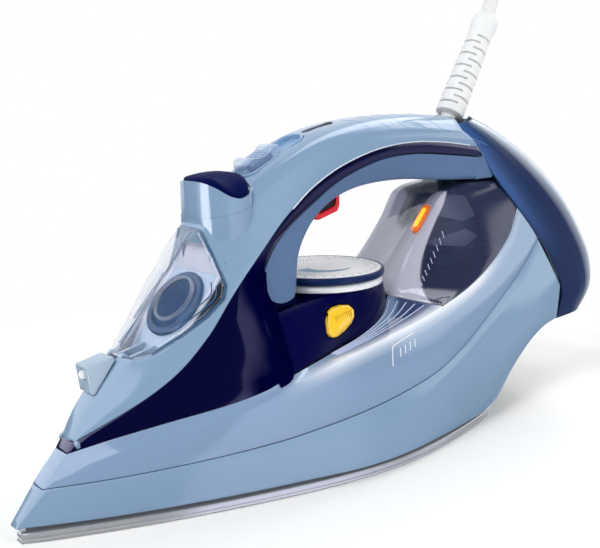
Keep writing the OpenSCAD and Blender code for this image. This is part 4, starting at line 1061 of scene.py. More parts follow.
def add_tank():
    """The tank's side and its deck, as one moulding, with a painted highlight on the soft shoulder between
    them.
    """
    piece = grid_piece("tank_skin", pulled(tank_rows(), SEAM / 2, 0), tank_blue)
    deck = grid_piece("tank_deck", pulled(deck_rows(), 0, SEAM / 2), tank_blue)
    shape = bmesh.new()
    shape.from_mesh(piece.data)
    shape.from_mesh(deck.data)
    bmesh.ops.remove_doubles(shape, verts=shape.verts, dist=1e-6)
    shape.to_mesh(piece.data)
    shape.free()
    clean_up(deck)
    walled(piece, 1.8 * MM)
    made(piece, rim=(1.2, 20, 3), sharp=40)

    def glow(p):
        """The painted highlight: brightest on the shoulder, fading towards the nose and the heel."""
        x = from_nose(p)
        ends = eased((x - 96) / 40) * (1 - 0.75 * eased((x - 232) / 36))
        return math.exp(-(distance(tank_shoulder, p) / 3.4) ** 2) * ends

    def depth(p):
        """The painted shade: on the deck, inside its shoulder, behind the hump and outside the dial's foot.
        """
        edge = tank_shoulder[int(np.argmin(np.abs(tank_shoulder[:, 0] - p[0])))]
        inside = eased(((-edge[1] - abs(p[1])) / MM - 2.5) / 3.5)
        above = eased((p[2] - edge[2]) / MM + 1)
        reach = math.hypot(from_nose(p) - DIAL_X, p[1] / MM)
        return inside * above * eased((from_nose(p) - 150) / 18) * eased((reach - 35.5) / 2.5)

    # The painted highlight along the shoulder, and the painted shade deep in the deck
    painted(piece, "glow", glow)
    painted(piece, "depth", depth)
    stands_for(piece, "iron", "tank_blue", "water_tank")


def lens_outline(length, width, steps=8):
    """A slot with round ends, along Y of its own pose."""
    half = (length - width) / 2
    right = [(half + width / 2 * math.cos(a), width / 2 * math.sin(a))
             for a in (math.pi * (k / steps - 0.5) for k in range(steps + 1))]
    return right + [(-x, -y) for x, y in right]


LENS_POSE = leaned((225.4, -11.2, 104.6), 48)
LIGHT_POSE = leaned((163, 0, 153.2), 15)
DOOR_LEAN = math.degrees(math.atan2(46, 40))
SLOPE_POSE = leaned((47, 0, 67), DOOR_LEAN)
TRACK_LEAN = math.degrees(math.atan2(16.4, 35))
TRACK_POSE = leaned((131, 0, 142.6), TRACK_LEAN)
SWIVEL_AT, SWIVEL_LEAN = (257.5, 0, 149), 31.7
SWIVEL_POSE = leaned(SWIVEL_AT, -SWIVEL_LEAN)


def add_window():
    """The tinted window of the rear pillar, open for the lamp."""
    piece = shell("window_skin", window_rows(), window_clear, 1.6 * MM, SEAM, SEAM)
    hole = prism("lens_hole", lens_outline(17.6 * MM, 5.6 * MM), -4, 3, LENS_POSE)
    stands_for(made(piece, [hole], rim=(0.3, 30), sharp=40), "iron", "window_clear", "rear_window")


# Where the panel meets the hump below the front of the handle
JOINT = np.array([p for p in panel_foot if 98 < from_nose(p) < 111 and p[2] < 92 * MM])


def add_panel():
    """The navy side panels, joined round the nose."""
    rows = band(around(panel_foot), around(panel_brow), 0.02, even(6))
    piece = made(shell("navy_panel_skin", rows, navy), rim=(0.2, 30), sharp=40)
    painted(piece, "calm", lambda p: 1 - eased((distance(JOINT, p) - 9) / 7))
    stands_for(piece, "iron", "navy_gloss", "navy_side_panel")


HUMP_TOP = 79.1
HUMP_R = 30
DIAL_X = 164
DIAL_POSE = at(DIAL_X)


def hump_brow():
    """The hump's upper edge: straight in front, round under the dial."""
    front = [[111, -26.4, 76], [119, -25.8, 77.2], [128, -25.4, 78]]
    rim = [[DIAL_X - HUMP_R * math.cos(math.radians(a)), -HUMP_R * math.sin(math.radians(a)), HUMP_TOP]
           for a in (58, 72, 88, 104, 122, 142, 161)]
    return guide(front + rim)


calc_outline = side_outline([
    [138.9, 72.9], [142.2, 74.2], [147.3, 74.6], [151.9, 74], [153.6, 72], [152.8, 69], [149.9, 66.4],
    [144.2, 64], [137.8, 62.6], [135, 62.8], [134.2, 64.8], [135.9, 68.5],
], 1.2)


def closed_behind(line):
    """A line of the near side, carried round the rear and back along the far side."""
    return np.concatenate([line, mirrored(line)[::-1]])


def add_hump():
    """The navy hump under the dial, with its lid, its collar and the lips at its joints."""
    piece = shell("dial_hump_skin", hump_rows(), hump_navy)
    hole = prism("button_hole", grown(calc_outline, GAP), 22, 60, ON_SIDE)
    made(piece, [hole], rim=(0.6, 30), sharp=40)
    # The plate that the dial turns on
    plate = lathe("dial_hump_plate", [(4.05, 76.7), (26.6, 76.7), (26.6, 78.8), (4.05, 78.8), (4.05, 76.7)],
                  navy, DIAL_POSE)
    stands_for(piece, "iron", "navy_gloss", "dial_base")
    stands_for(plate, "iron", "navy_gloss")
    collar = lathe("hump_collar", [(26.7, 70), (29.6, 70), (29.6, 79), (26.7, 79), (26.7, 70)], hump_navy,
                   DIAL_POSE)
    near = [(x + 0.4 * MM, y + 0.6 * MM) for x, y, z in hump_brow() if x < (150 - MIDDLE) * MM]
    lid = prism("hump_lid", whole_plan(near), 72, 76.4, material=hump_navy)
    bore = prism("lid_bore", disc(29.4 * MM, 64), 60, 90, DIAL_POSE)
    stands_for(collar, "iron", "navy_gloss")
    stands_for(made(lid, [bore]), "iron", "navy_gloss")
    # A dark lip behind the joint of the hump and the side panel, on both sides
    for label, side in (("near", 1), ("far", -1)):
        line = [(x + 0.9 * MM, side * (y + 0.5 * MM), z) for x, y, z in JOINT]
        stands_for(beads(f"hump_lip_{label}", [line], 1.8, joint_navy, 16), "iron", "navy_gloss")


door_outline = side_outline([
    [46.7, 66.6], [51, 65.6], [57, 66.8], [69, 73.4], [79, 79.8], [87, 86.6], [89.4, 91.6], [88.8, 103],
    [87.4, 113.4], [76, 123], [33, 78.4],
], 1)
HINGE_IN = 1.7 * MM
HINGE_POSE = SLOPE_POSE @ Matrix.Translation((0, 0, -HINGE_IN)) @ Matrix.Rotation(math.radians(90), 4, "X")


def disc(radius, sides=32):
    """A circle as an outline."""
    return [(radius * math.cos(2 * math.pi * k / sides), radius * math.sin(2 * math.pi * k / sides))
            for k in range(sides)]


collar_edge = smooth([
    [88, -4, 0], [90, -10, 0], [95, -15, 0], [102, -17.2, 0], [108, -16.6, 0], [111.5, -12, 0],
    [112.6, -5, 0],
], 5)
collar_plan = [((p[0] - MIDDLE) * MM, p[1] * MM) for p in around(collar_edge)]


def box_outline(back, front, half, corner):
    """A plan from back to front with rounded corners."""
    return filleted([(back, -half), (front, -half), (front, half), (back, half)], corner)


TRACK_BACK, TRACK_FRONT, TRACK_HALF = -19.6 * MM, 21 * MM, 7.5 * MM


def add_housing():
    """The upper housing, open for the door, the spray button's collar, the slider and the light."""
    piece = shell("housing_skin", housing_rows(), shell_blue)
    track = box_outline(TRACK_BACK - SEAM, TRACK_FRONT + SEAM, TRACK_HALF + SEAM, 6.2 * MM)
    hinge_gap = HINGE_IN / math.cos(math.radians(45)) + GAP
    holes = [
        prism("door_hole", grown(door_outline, GAP), -40, 40, ON_SIDE),
        prism("hinge_room", disc(hinge_gap), -3.4, 3.4, HINGE_POSE),
        prism("collar_hole", grown(collar_plan, 0.1 * MM), 100, 150),
        prism("track_hole", track, -4.3, 12, TRACK_POSE),
        prism("light_hole", box_outline(-9.65 * MM, 9.65 * MM, 2.45 * MM, 2.3 * MM), -4, 4, LIGHT_POSE),
    ]
    stands_for(made(piece, holes, rim=(0.35, 32), sharp=38), "iron", "shell_blue", "upper_housing")


def add_door():
    """The clear door, cut from the housing's own shape, and the round knuckle of its hinge."""
    piece = shell("door_skin", housing_rows(), door_clear, 2 * MM)
    blank = prism("door_blank", door_outline, -40, 40, ON_SIDE)
    cut(piece, blank, "INTERSECT")
    rooms = [prism("ear_room", disc(2.9 * MM), low, high, HINGE_POSE) for low, high in ((3, 20), (-20, -3))]
    made(piece, rooms, rim=(0.45, 32, 3), sharp=38)
    clean_up(blank)
    stands_for(piece, "door", "clear_plastic", "filler_door")
    knuckle = [(0.85, -3), (1.5, -3), (1.7, -2.8), (1.7, 2.8), (1.5, 3), (0.85, 3), (0.85, -3)]
    stands_for(lathe("door_knuckle", knuckle, door_clear, HINGE_POSE, 24), "door", "clear_plastic")


trigger_outline = side_outline([
    [155.5, 128], [155.5, 110.6], [158, 110.6], [170, 113.6], [171.4, 116.4], [171.4, 128],
], 1)
trigger_sunk = side_outline([[157.4, 126], [157.4, 113.2], [168, 116], [169.2, 118], [169.2, 126]], 0.8)


def add_grip():
    """The soft grip along the handle, and the dark core at the foot of its front leg."""
    piece = shell("grip_skin", grip_rows(), grip_rubber)
    hole = prism("trigger_hole", grown(trigger_outline, GAP), -6.4, 6.4, ON_SIDE)
    # The foot of the front leg is rounded off against the navy hump
    foot = [(118.6 + 11.8 * math.cos(a), 91.4 + 11.8 * math.sin(a))
            for a in (math.pi * (1 + k / 16) for k in range(17))]
    keep = side_block("grip_blank", foot + [(300, 91.4), (300, 160), (100, 160), (100, 91.4)], 0, 40)
    made(piece, [hole], keep, rim=(0.6, 32), sharp=40)
    stands_for(piece, "iron", "grip_grey_blue", "handle_grip")
    core = side_block("grip_foot_core", [(108.6, 77), (128, 77), (128.6, 100), (116, 100)], 1, 21, navy_satin)
    stands_for(finish_mesh(core), "iron", "navy_gloss")


def on_grid(rows, j, i, lift=0.0):
    """A point of a shell's grid between its rows and stations, lifted off the face."""
    j0, i0 = min(int(j), len(rows) - 2), min(int(i), len(rows[0]) - 2)
    u, v = j - j0, i - i0
    a, b, c, d = rows[j0][i0], rows[j0][i0 + 1], rows[j0 + 1][i0], rows[j0 + 1][i0 + 1]
    out = np.cross(b - a, c - a)
    face = a * (1 - u) * (1 - v) + b * (1 - u) * v + c * u * (1 - v) + d * u * v
    return tuple(face + lift * out / np.linalg.norm(out))


def painted(piece, name, value):
    """Writes a value for each point of a finished piece, for its material to read."""
    data = piece.data.attributes.new(name, "FLOAT", "POINT")
    data.data.foreach_set("value", [float(value(np.array(v.co))) for v in piece.data.vertices])


def skin_depth(rows):
    """Tells how far out a shell's near side lies at a place seen from its side."""
    n = len(rows[0])
    faces = [(j * n + i, j * n + i + 1, (j + 1) * n + i + 1, (j + 1) * n + i)
             for j in range(len(rows) - 1) for i in range(n - 1)]
    tree = BVHTree.FromPolygons([tuple(p) for row in rows for p in row], faces)

    def depth(x, z, start=-0.1):
        """How far out the face lies at a place, or nothing where the shell isn't."""
        hit = tree.ray_cast(Vector((x, start, z)), Vector((0, 1, 0)))
        return hit[0].y if hit[0] else None
    return depth


def hump_rows():
    """The wall of the dial's hump, from the deck to its upper edge."""
    return [closed_behind(row) for row in band(hump_foot, hump_brow(), 0.03, even(8))]


def above(name, line):
    """All that lies over a line drawn from the side, in millimetres, for cutting away."""
    line = [tuple(p) for p in line]
    return side_block(name, line + [(line[-1][0], 170), (line[0][0], 170)], 0, 40)


def add_collar_skirt():
    """The housing's own rise around the collar, up to a level seam."""
    skirt = prism("collar_skirt", grown(collar_plan, 0.3 * MM), 100, 125, material=shell_blue)
    line = smooth([[80, 117.4], [88, 118.4], [95, 119.6], [102, 121], [108, 123], [116, 126.4]], 4)
    rooms = [
        prism("skirt_room", grown(collar_plan, 0.06 * MM), 90, 130),
        above("above_skirt", line),
        prism("skirt_door_room", grown(door_outline, 2 * GAP), -40, 40, ON_SIDE),
    ]
    stands_for(made(skirt, rooms, sharp=38), "iron", "shell_blue")


# The mouth's middle, its depth below the slope and the foot of the ramp above it, in millimetres
MOUTH_UP, MOUTH_DEEP, RAMP_FOOT, RAMP_CLIMB = 32, 13.2, 49, math.radians(31)
MOUTH_POSE = SLOPE_POSE @ Matrix.Translation((MOUTH_UP * MM, 0, -MOUTH_DEEP * MM))


def add_door_lines():
    """The door's dark edge, the painted highlight line within it, and its latch ledge."""
    depth = skin_depth(housing_rows())

    def on_skin(outline, lift):
        """An outline laid on the door's near face; at the crest it keeps 1.6 mm off the middle."""
        line = []
        for x, z in outline:
            y = depth(x, z)
            line.append((x, (y if y is not None and y < -1 * MM else -1.6 * MM) - lift, z))
        return line

    # The glint line is a painted highlight
    for name, inset, radius, material in (("door_edge", 0.55, 0.5, door_rim),
                                          ("door_glint", 1.5, 0.2, white_ink_and_glint)):
        line = on_skin(grown(door_outline, -inset * MM), -0.1 * MM)
        near = [p for p in line if p[1] < -3.2 * MM and from_nose(p) > 53]
        stands_for(beads(name, both_sides(near), radius, material), "door", "clear_plastic")
    ledge = smooth([[66.5, 75.4], [72, 79], [78, 83], [83.6, 87.4], [85.4, 92]], 4)
    near = [on_skin(side_outline([(x - k, z + k) for x, z in ledge]), 0.1 * MM) for k in (0, 1.3)]
    stands_for(beads("door_ledge", both_sides(*near), 0.3, door_rim, 8), "door", "clear_plastic")


def add_mouth():
    """What shows through the door: the seal of the filler mouth, the floor round it and the ramp above it."""
    depth = skin_depth(housing_rows())
    seal = lathe("seal_ring", [(12.2, 0), (12.2, 1), (12.7, 1.5), (15, 1.5), (15.6, 1), (15.6, 0), (12.2, 0)],
                 seal_teal, MOUTH_POSE)
    stands_for(seal, "iron", "seal_black", "filler_seal")
    spine = [(a, SLOPE_POSE @ Vector((a * MM, 0, -13.8 * MM))) for a in range(6, 60, 2)]
    reach = [(a * MM, depth(p.x, p.z)) for a, p in spine]
    near = [(a, y + 2.4 * MM) for a, y in reach if y is not None and y < -3.4 * MM]
    plate = prism("mouth_plate", whole_plan(near), -14.2, -13.4, SLOPE_POSE, liner_pale)
    opening = prism("mouth_opening", disc(14.7 * MM, 64), -2.8, 3.2, MOUTH_POSE)
    stands_for(made(plate, [opening]), "iron", "shell_blue")
    # Above the mouth the floor climbs to the door's upper end
    reach = []
    for a in range(0, 68 - RAMP_FOOT, 2):
        p = SLOPE_POSE @ Vector(((RAMP_FOOT + a) * MM, 0, (-13.4 + a * math.tan(RAMP_CLIMB)) * MM))
        reach.append((a * MM / math.cos(RAMP_CLIMB), depth(p.x, p.z)))
    near = [(a, min(y + 2.4 * MM, -1 * MM)) for a, y in reach if y is not None]
    foot = SLOPE_POSE @ Matrix.Translation((RAMP_FOOT * MM, 0, -13.4 * MM))
    pose = foot @ Matrix.Rotation(-RAMP_CLIMB, 4, "Y")
    stands_for(prism("mouth_ramp", whole_plan(near), -0.5, 0.3, pose, liner_pale), "iron", "shell_blue")
    crest = [SLOPE_POSE @ Vector((a * MM, 1 * MM, -1.2 * MM)) for a in range(4, 66, 2)]
    stands_for(beads("door_crest", [crest], 0.35, seal_teal, 8), "door", "clear_plastic")
    ring = lathe("mouth_ring", [(9.8, 2), (9.8, 3.2), (10.8, 3.4), (11.2, 2.2), (9.8, 2)], door_clear,
                 MOUTH_POSE @ Matrix.Translation((1.5 * MM, 0, 0)))
    stands_for(ring, "door", "clear_plastic")


def add_edges():
    """The painted highlight line along the housing's lower edge by the handle, and the end of the grip at the
    heel.
    """
    line = [(x, y - 0.12 * MM, z + 0.1 * MM) for x, y, z in panel_brow if 126 < x / MM + MIDDLE < 256]
    stands_for(beads("housing_edge", both_sides(line), 0.3, painted_edge_highlight), "iron", "shell_blue")
    side = [(262, 122.4), (276, 122.4), (278.6, 125), (269, 137), (262, 137.4)]
    end = side_block("grip_end", side, 1, 19.4, grip_rubber)
    stands_for(made(end, rim=(1.2, 40, 3)), "iron", "grip_grey_blue")


# Each dark moulding inside the heel: its side in millimetres, its corners and half its width
FRAME_CORE = ([(216.4, 57.4), (303.6, 58.4), (303.6, 65.6), (284.6, 65.6), (287.6, 78), (275.6, 97.6),
               (261.8, 112.6), (247, 114.6), (236.4, 103.8), (225.4, 88)], 2, 8.6)
FRAME_FOOT = ([(190.4, 29.8), (249.6, 29.8), (261.6, 36.4), (277.6, 46.4), (289.4, 56), (283.6, 63.4),
               (196.6, 55.6)], 2, 21.6)
SHELVES = [
    ([(219, 71), (292, 66), (292, 69.4), (221, 74.6)], 0.6, 15),
    ([(224, 84.4), (287, 79), (287, 82), (226, 88)], 0.6, 14),
    ([(231, 97), (281, 89), (279, 92.6), (233, 100.4)], 0.6, 12),
    ([(248, 84), (252, 84), (258, 112), (254, 112)], 0.6, 11),
    ([(268, 80), (271, 80), (276, 96), (273, 98)], 0.6, 12),
]
DUCT = ([(227, 90), (262, 95), (274, 89.5), (262, 85.4)], 1, 13)
HOOD = ([(240, 104), (262, 99), (272, 101), (262, 113.4), (247, 115)], 1.5, 12)


def add_inner_frame():
    """The dark mouldings inside the heel: a core with shelves and a blue duct between them."""
    core = side_block("frame_core", *FRAME_CORE, frame_brown)
    foot = side_block("frame_foot", *FRAME_FOOT, frame_brown)
    stands_for(made(core, rim=(0.6, 30)), "iron", "frame_dark", "inner_frame")
    stands_for(made(foot, rim=(0.6, 30)), "iron", "frame_dark")
    for k, shelf in enumerate(SHELVES):
        piece = side_block(f"frame_shelf_{k}", *shelf, frame_brown)
        stands_for(made(piece, rim=(0.4, 30)), "iron", "frame_dark")
    duct = side_block("frame_duct", *DUCT, duct_blue)
    hood = side_block("frame_hood", *HOOD, duct_blue)
    for piece in (duct, hood):
        stands_for(made(piece, rim=(0.5, 30)), "iron", "shell_blue")


COLLAR_LINE = smooth([
    [84, 134.6], [88, 134.2], [92, 131.6], [97, 128], [102, 126.6], [107, 127.8], [112, 130.6],
    [118, 133],
], 5)
CROWN_LINE = smooth([
    [84, 133.4], [88, 134.6], [93, 136.6], [99, 137.4], [106, 137.2], [112, 136], [118, 134],
], 6)


def add_spray_button():
    """The collar's thin wall, cut along a saddle line, and the crowned button inside it."""
    collar = prism("spray_collar_skin", collar_plan, 108, 145, material=shell_blue)
    rooms = [prism("collar_room", grown(collar_plan, -1.2 * MM), 100, 150),
             above("above_collar", COLLAR_LINE)]
    stands_for(made(collar, rooms, rim=(0.35, 45, 3), sharp=38), "iron", "shell_blue", "spray_collar")
    plan = np.array(grown(collar_plan, -1.6 * MM))
    middle = plan[:, 0].mean()
    rows = [[(x, y, 122 * MM) for x, y in plan]]
    crowned = [(share, 0) for share in (0.9, 0.8, 0.65, 0.5, 0.35, 0.2, 0.06)]
    for share, drop in [(1, 1), (0.985, 0.45), (0.95, 0.1)] + crowned:
        ring = []
        for x, y in plan:
            x, y = middle + (x - middle) * share, y * share
            rim = np.interp(x / MM + MIDDLE, COLLAR_LINE[:, 0], COLLAR_LINE[:, 1]) + 0.5
            crown = np.interp(x / MM + MIDDLE, CROWN_LINE[:, 0], CROWN_LINE[:, 1])
            high = rim + (crown - rim) * (1 - min(1, abs(y) / (15.6 * MM)) ** 2.5)
            ring.append((x, y, (high - drop) * MM))
        rows.append(ring)
    button = closed_up(grid_piece("spray_button_cap", rows, navy_satin, closed=True), 50)
    stem = lathe("spray_button_stem", stem_outline(112, 122.2), nylon_grey, at(101), 24)
    stands_for(button, "spray", "navy_gloss", "spray_button")
    stands_for(stem, "spray", "inner_grey")


def turned_like(pose):
    """The turn of a pose, as the angles that repeated units take."""
    return tuple(pose.to_euler())


# Where the slider's rear end and its underside lie along the track, and how long it is, in millimetres
SLIDER_BACK, SLIDER_LOW, SLIDER_LONG = -16.8, -2.3, 23


def row_of(name, bar, pose, spots, material):
    """A row of like bars at spots of a pose, in millimetres."""
    turn = turned_like(pose)
    places = [(pose @ (Vector(spot) * MM), turn, (1, 1, 1)) for spot in spots]
    piece = repeated(name, bar, places, material)
    clean_up(bar)
    return piece


def add_slider():
    """The tray in the handle and the clear slider, with its thumb lug, ribs and round end."""
    rim = 1.2 * MM
    outer = box_outline(TRACK_BACK, TRACK_FRONT, TRACK_HALF, 6 * MM)
    inner = box_outline(TRACK_BACK + rim, TRACK_FRONT - rim, TRACK_HALF - rim, 5 * MM)
    tray = prism("slider_tray", outer, -4, 0, TRACK_POSE, tray_blue)
    room = prism("tray_room", inner, -2.6, 2, TRACK_POSE)
    stands_for(made(tray, [room], rim=(0.3, 40)), "iron", "shell_blue", "slider_track")
    back, low, front = SLIDER_BACK, SLIDER_LOW, SLIDER_BACK + SLIDER_LONG
    plan = box_outline(back * MM, front * MM, 5.9 * MM, 4 * MM)
    body = prism("steam_slider_body", plan, low, 7, TRACK_POSE, slider_clear)
    top = [[0, 3.2], [1.6, 5.8], [5, 6.8], [8, 5.7], [10.6, 4.8], [15, 4.9], [18, 5.9], [21, 5.8], [23, 4.2]]
    side = [((back + x) * MM, (low + z) * MM) for x, z in smooth(top, 4)]
    side += [(front * MM, (low - 1) * MM), (back * MM, (low - 1) * MM)]
    blank = prism("slider_blank", side, -9, 9, TRACK_POSE @ ON_SIDE)
    stands_for(made(body, keep=blank, rim=(0.5, 40, 3)), "slider", "clear_plastic", "steam_slider")
    plan = box_outline((back + 5) * MM, (back + 19) * MM, 2.6 * MM, 1.5 * MM)
    core = prism("slider_core", plan, low + 0.6, low + 3.4, TRACK_POSE, slider_blue)
    stands_for(made(core, rim=(0.5, 40)), "slider", "clear_plastic")
    spots = [(back + 9.4 + 1.55 * k, 0, low + 5.05) for k in range(5)]
    bars = row_of("slider_bars", block_unit("slider_bar", 0.7, 8.6, 1.1), TRACK_POSE, spots, slider_clear)
    stands_for(bars, "slider", "clear_plastic")


def add_light():
    """The smoked auto-off light with fine bars across it."""
    lens = prism("auto_off_lens", box_outline(-9.5 * MM, 9.5 * MM, 2.3 * MM, 2.2 * MM), -3, 0.6, LIGHT_POSE,
                 light_smoke)
    stands_for(made(lens, rim=(0.3, 40)), "iron", "light_dark", "auto_off_window")
    spots = [(2 * k - 7, 0, 0.62) for k in range(8)]
    bars = row_of("light_bars", block_unit("light_bar", 0.5, 3.2, 0.2), LIGHT_POSE, spots, light_bar)
    stands_for(bars, "iron", "light_dark")


def add_nozzle():
    """The faceted spray nozzle and its white insert."""
    sides = [(31.6, 65.2), (43.6, 67.4), (44.6, 65.8), (34.4, 53.2), (33, 54)]
    body = side_block("nozzle_body", sides, 0.5, 4.8, nozzle_pale)
    bore = lathe("nozzle_bore", [(0, -5), (2.3, -5), (2.3, 4), (0, 4)], None,
                 leaned((32.6, 0, 61.4), -90) @ Matrix.Rotation(math.pi, 4, "X"), 32)
    stands_for(made(body, [bore], rim=(0.55, 30, 3), sharp=30), "iron", "shell_blue", "nozzle_housing")
    profile = [(0.5, -3.3), (1.95, -3.3), (1.95, 0.5), (1.7, 1.2), (1.2, 1.55), (0.9, 1.4), (0.5, 1),
               (0.5, -3.3)]
    tip = lathe("nozzle_insert", profile, acetal_white, leaned((32.6, 0, 61.4), 90), 32)
    stands_for(tip, "iron", "inner_white", "nozzle_tip")


def add_trigger():
    """The red steam trigger, with a sunk dark panel in each side."""
    body = prism("steam_trigger_key", trigger_outline, -6, 6, ON_SIDE, trigger_red)
    rooms = [prism("panel_room", trigger_sunk, low, high, ON_SIDE) for low, high in ((5, 9), (-9, -5))]
    stands_for(made(body, rooms, rim=(0.7, 40, 3)), "trigger", "trigger_red", "steam_trigger")
    plate = prism("trigger_panel", grown(trigger_sunk, -0.1 * MM), -5.2, 5.2, ON_SIDE, trigger_dark)
    stands_for(finish_mesh(plate), "trigger", "trigger_red")
    plan = box_outline(-8.4 * MM, 8.4 * MM, 7.6 * MM, 1 * MM)
    flange = prism("trigger_flange", plan, 127.6, 129.4, at(164), trigger_red)
    stem = lathe("trigger_stem", stem_outline(129, 133.6), trigger_red, at(169), 24)
    for piece in (finish_mesh(flange), stem):
        stands_for(piece, "trigger", "trigger_red")


def add_calc_button():
    """A proud yellow key that follows the slope of the hump, with fine grip lines."""
    depth = skin_depth(hump_rows())
    outline = np.array(calc_outline)
    middle = outline.mean(axis=0)
    rows = [[(x, -31 * MM, z) for x, z in outline]]
    for share, drop in ((1, 1.5), (0.975, 0.7), (0.93, 0.2), (0.85, -0.1), (0.65, -0.5), (0.4, -0.8),
                        (0.15, -0.9)):
        ring = []
        for x, z in middle + (outline - middle) * share:
            ring.append((x, depth(x, z) + (drop - 2.2) * MM, z))
        rows.append(ring)
    key = closed_up(grid_piece("calc_button_key", rows, button_yellow, closed=True), 50)
    stem = lathe("calc_button_stem", stem_outline(-8, 4.7), button_yellow,
                 at(150.5, -26.5, 66.6) @ Matrix.Rotation(math.pi / 2, 4, "X"), 24)
    stands_for(key, "calc", "button_yellow", "calc_clean_button")
    stands_for(stem, "calc", "button_yellow")
    # The grip lines take a darker yellow: painted shade on their sides
    bar = block_unit("calc_bar", 0.3, 0.4, 3.4)
    tilt = (math.radians(-24), math.radians(12), 0)
    places = []
    for k in range(9):
        x, z = (140.4 + 1.25 * k - MIDDLE) * MM, (69.4 + 0.18 * k) * MM
        places.append((Vector((x, depth(x, z) - 2.85 * MM, z)), tilt, (1, 1, 1)))
    stands_for(repeated("calc_bars", bar, places, calc_rib_shade), "calc", "button_yellow")
    clean_up(bar)


def add_lens():
    """The amber lamp, and the lit strip inside it."""
    for name, long, wide, low, high, material, stood in (
            ("lamp_lens", 17, 5, -3, 0.8, amber, ["indicator_lens"]),
            ("lamp_strip", 12.6, 2.9, 0.2, 1.1, amber_lit, [])):
        piece = prism(name, lens_outline(long * MM, wide * MM), low, high, LENS_POSE, material)
        stands_for(made(piece, rim=(0.5, 40, 3)), "iron", "lens_amber", *stood)


def add_guard():
    """The cord guard: a swivel ball, a slotted sleeve, and a bulb at its end."""
    ball = [(7 * math.sin(math.radians(a)), -7 * math.cos(math.radians(a))) for a in range(0, 146, 12)]
    sleeve = [(4, 5.9), (4, 8.9), (7.2, 9), (7.7, 9.4), (7.8, 10.4), (7.6, 20), (7.3, 32), (7, 44), (6.7, 56),
              (6.65, 59.6), (7.1, 61.4), (7.45, 64), (7.5, 66.6), (7.2, 69), (6.5, 70.6), (5.8, 71), (0, 71)]
    guard = lathe("cord_guard_sleeve", ball + sleeve, guard_vinyl, SWIVEL_POSE, 64)
    # Each slot is a third of a ring, 3.4 mm deep
    steps = range(-62, 63, 8)
    arc = [(math.radians(a), 9.4) for a in steps] + [(math.radians(-a), 6) for a in steps]
    unit = prism("slot_unit", [(r * MM * math.cos(a), r * MM * math.sin(a)) for a, r in arc], -0.6, 0.6)
    places = []
    for k in range(12):
        size = 1 - 1.05 / 7.75 * k / 11
        for side in (0, 180):
            pose = SWIVEL_POSE @ Matrix.Rotation(math.radians(90 * k + side), 4, "Z")
            spot = SWIVEL_POSE @ Vector((0, 0, (14 + 3.8 * k) * MM))
            places.append((spot, turned_like(pose), (size, size, 1)))
    slots = repeated("guard_slots", unit, places, guard_vinyl)
    clean_up(unit)
    stands_for(made(guard, [slots], rim=(0.2, 50, 1), sharp=40), "guard", "guard_white", "cord_guard")


def add_marks():
    """Fine printed and moulded lines: deck arcs, level bracket, window dashes and handle arcs."""
    deck, side, top, window = deck_rows(), tank_rows(), housing_rows(), window_rows()
    # Stations count from the middle of the nose, and heights are shares of the shell's own
    nose, high = (len(deck[0]) - 1) / 2, len(deck) - 1
    arcs = []
    for k in range(5):
        inner, outer = 0.52 + 0.1 * k, 0.28 + 0.165 * k
        arcs.append([on_grid(deck, high * (inner * (1 - u) + outer * u), nose + 37 + 16.4 * u, 0.1 * MM)
                     for u in even(28)])
    stands_for(beads("deck_arcs", arcs, 0.26, print_lilac), "iron", "tank_blue")
    nose, high = (len(side[0]) - 1) / 2, len(side) - 1
    bracket = [[(42.6, 0.52), (43.1, 0.78), (43.6, 0.83), (46.4, 0.86)]]
    bracket += [[(43.9 + 0.75 * k, 0.6 + 0.01 * k), (44.15 + 0.75 * k, 0.74 + 0.01 * k)] for k in range(4)]
    marks = [[on_grid(side, high * t, nose + s, 0.06 * MM) for s, t in smooth(line, 4)] for line in bracket]
    stands_for(beads("level_marks", marks, 0.24, white_ink_and_glint), "iron", "tank_blue")
    high = (len(window) - 1) / 2
    dashes = []
    for k in range(11):
        s, t = 2.2 + 1.5 * k, 0.42 + 0.012 * k
        dashes.append([on_grid(window, high * (t + 0.05 * u), s + 0.9 * u, 0.1 * MM) for u in even(4)])
    stands_for(beads("window_dashes", dashes, 0.2, print_lilac), "iron", "window_clear")
    high = (len(top) - 1) / 2
    lines = [[on_grid(top, high * (1 - 0.86 * u), 83 + 2.1 * k + 8 * u * u, 0.02 * MM) for u in even(24)]
             for k in range(5)]
    stands_for(beads("handle_arcs", lines, 0.1, shell_line), "iron", "shell_blue")


def add_dial_marks():
    """Ticks, dots and a teal wedge printed on the dial."""
    tick = block_unit("dial_tick", 1.7, 0.34, 0.08)
    marks = [(26.6 if k % 3 else 26.2, 10 * k, (1 if k % 3 else 1.5, 1, 1)) for k in range(36)]
    for row, radius in ((0, 20.5), (1, 18.6)):
        marks += [(radius, 30 + 6 * k + 3 * row, (0.5, 1.4, 1)) for k in range(14)]
    places = []
    for radius, degrees, size in marks:
        a = math.radians(degrees)
        spot = DIAL_POSE @ Vector((radius * MM * math.cos(a), radius * MM * math.sin(a), 86.42 * MM))
        places.append((spot, (0, 0, a), size))
    stands_for(repeated("dial_ticks", tick, places, dial_ink), "dial", "dial_cream")
    clean_up(tick)
    # The wedge swings through 124 degrees and grows from a point to 7.4 mm
    sweep = [(math.radians(-186 + 4.6 * k), 15 - 7.4 * (1 - k / 27) ** 0.7) for k in range(28)]
    outer = [(15.3 * MM * math.cos(a), 15.3 * MM * math.sin(a)) for a, r in sweep]
    inner = [(r * MM * math.cos(a), r * MM * math.sin(a)) for a, r in sweep]
    wedge = prism("dial_wedge", outer + inner[::-1], 86.3, 86.44, DIAL_POSE, dial_teal)
    stands_for(finish_mesh(wedge), "dial", "dial_cream")


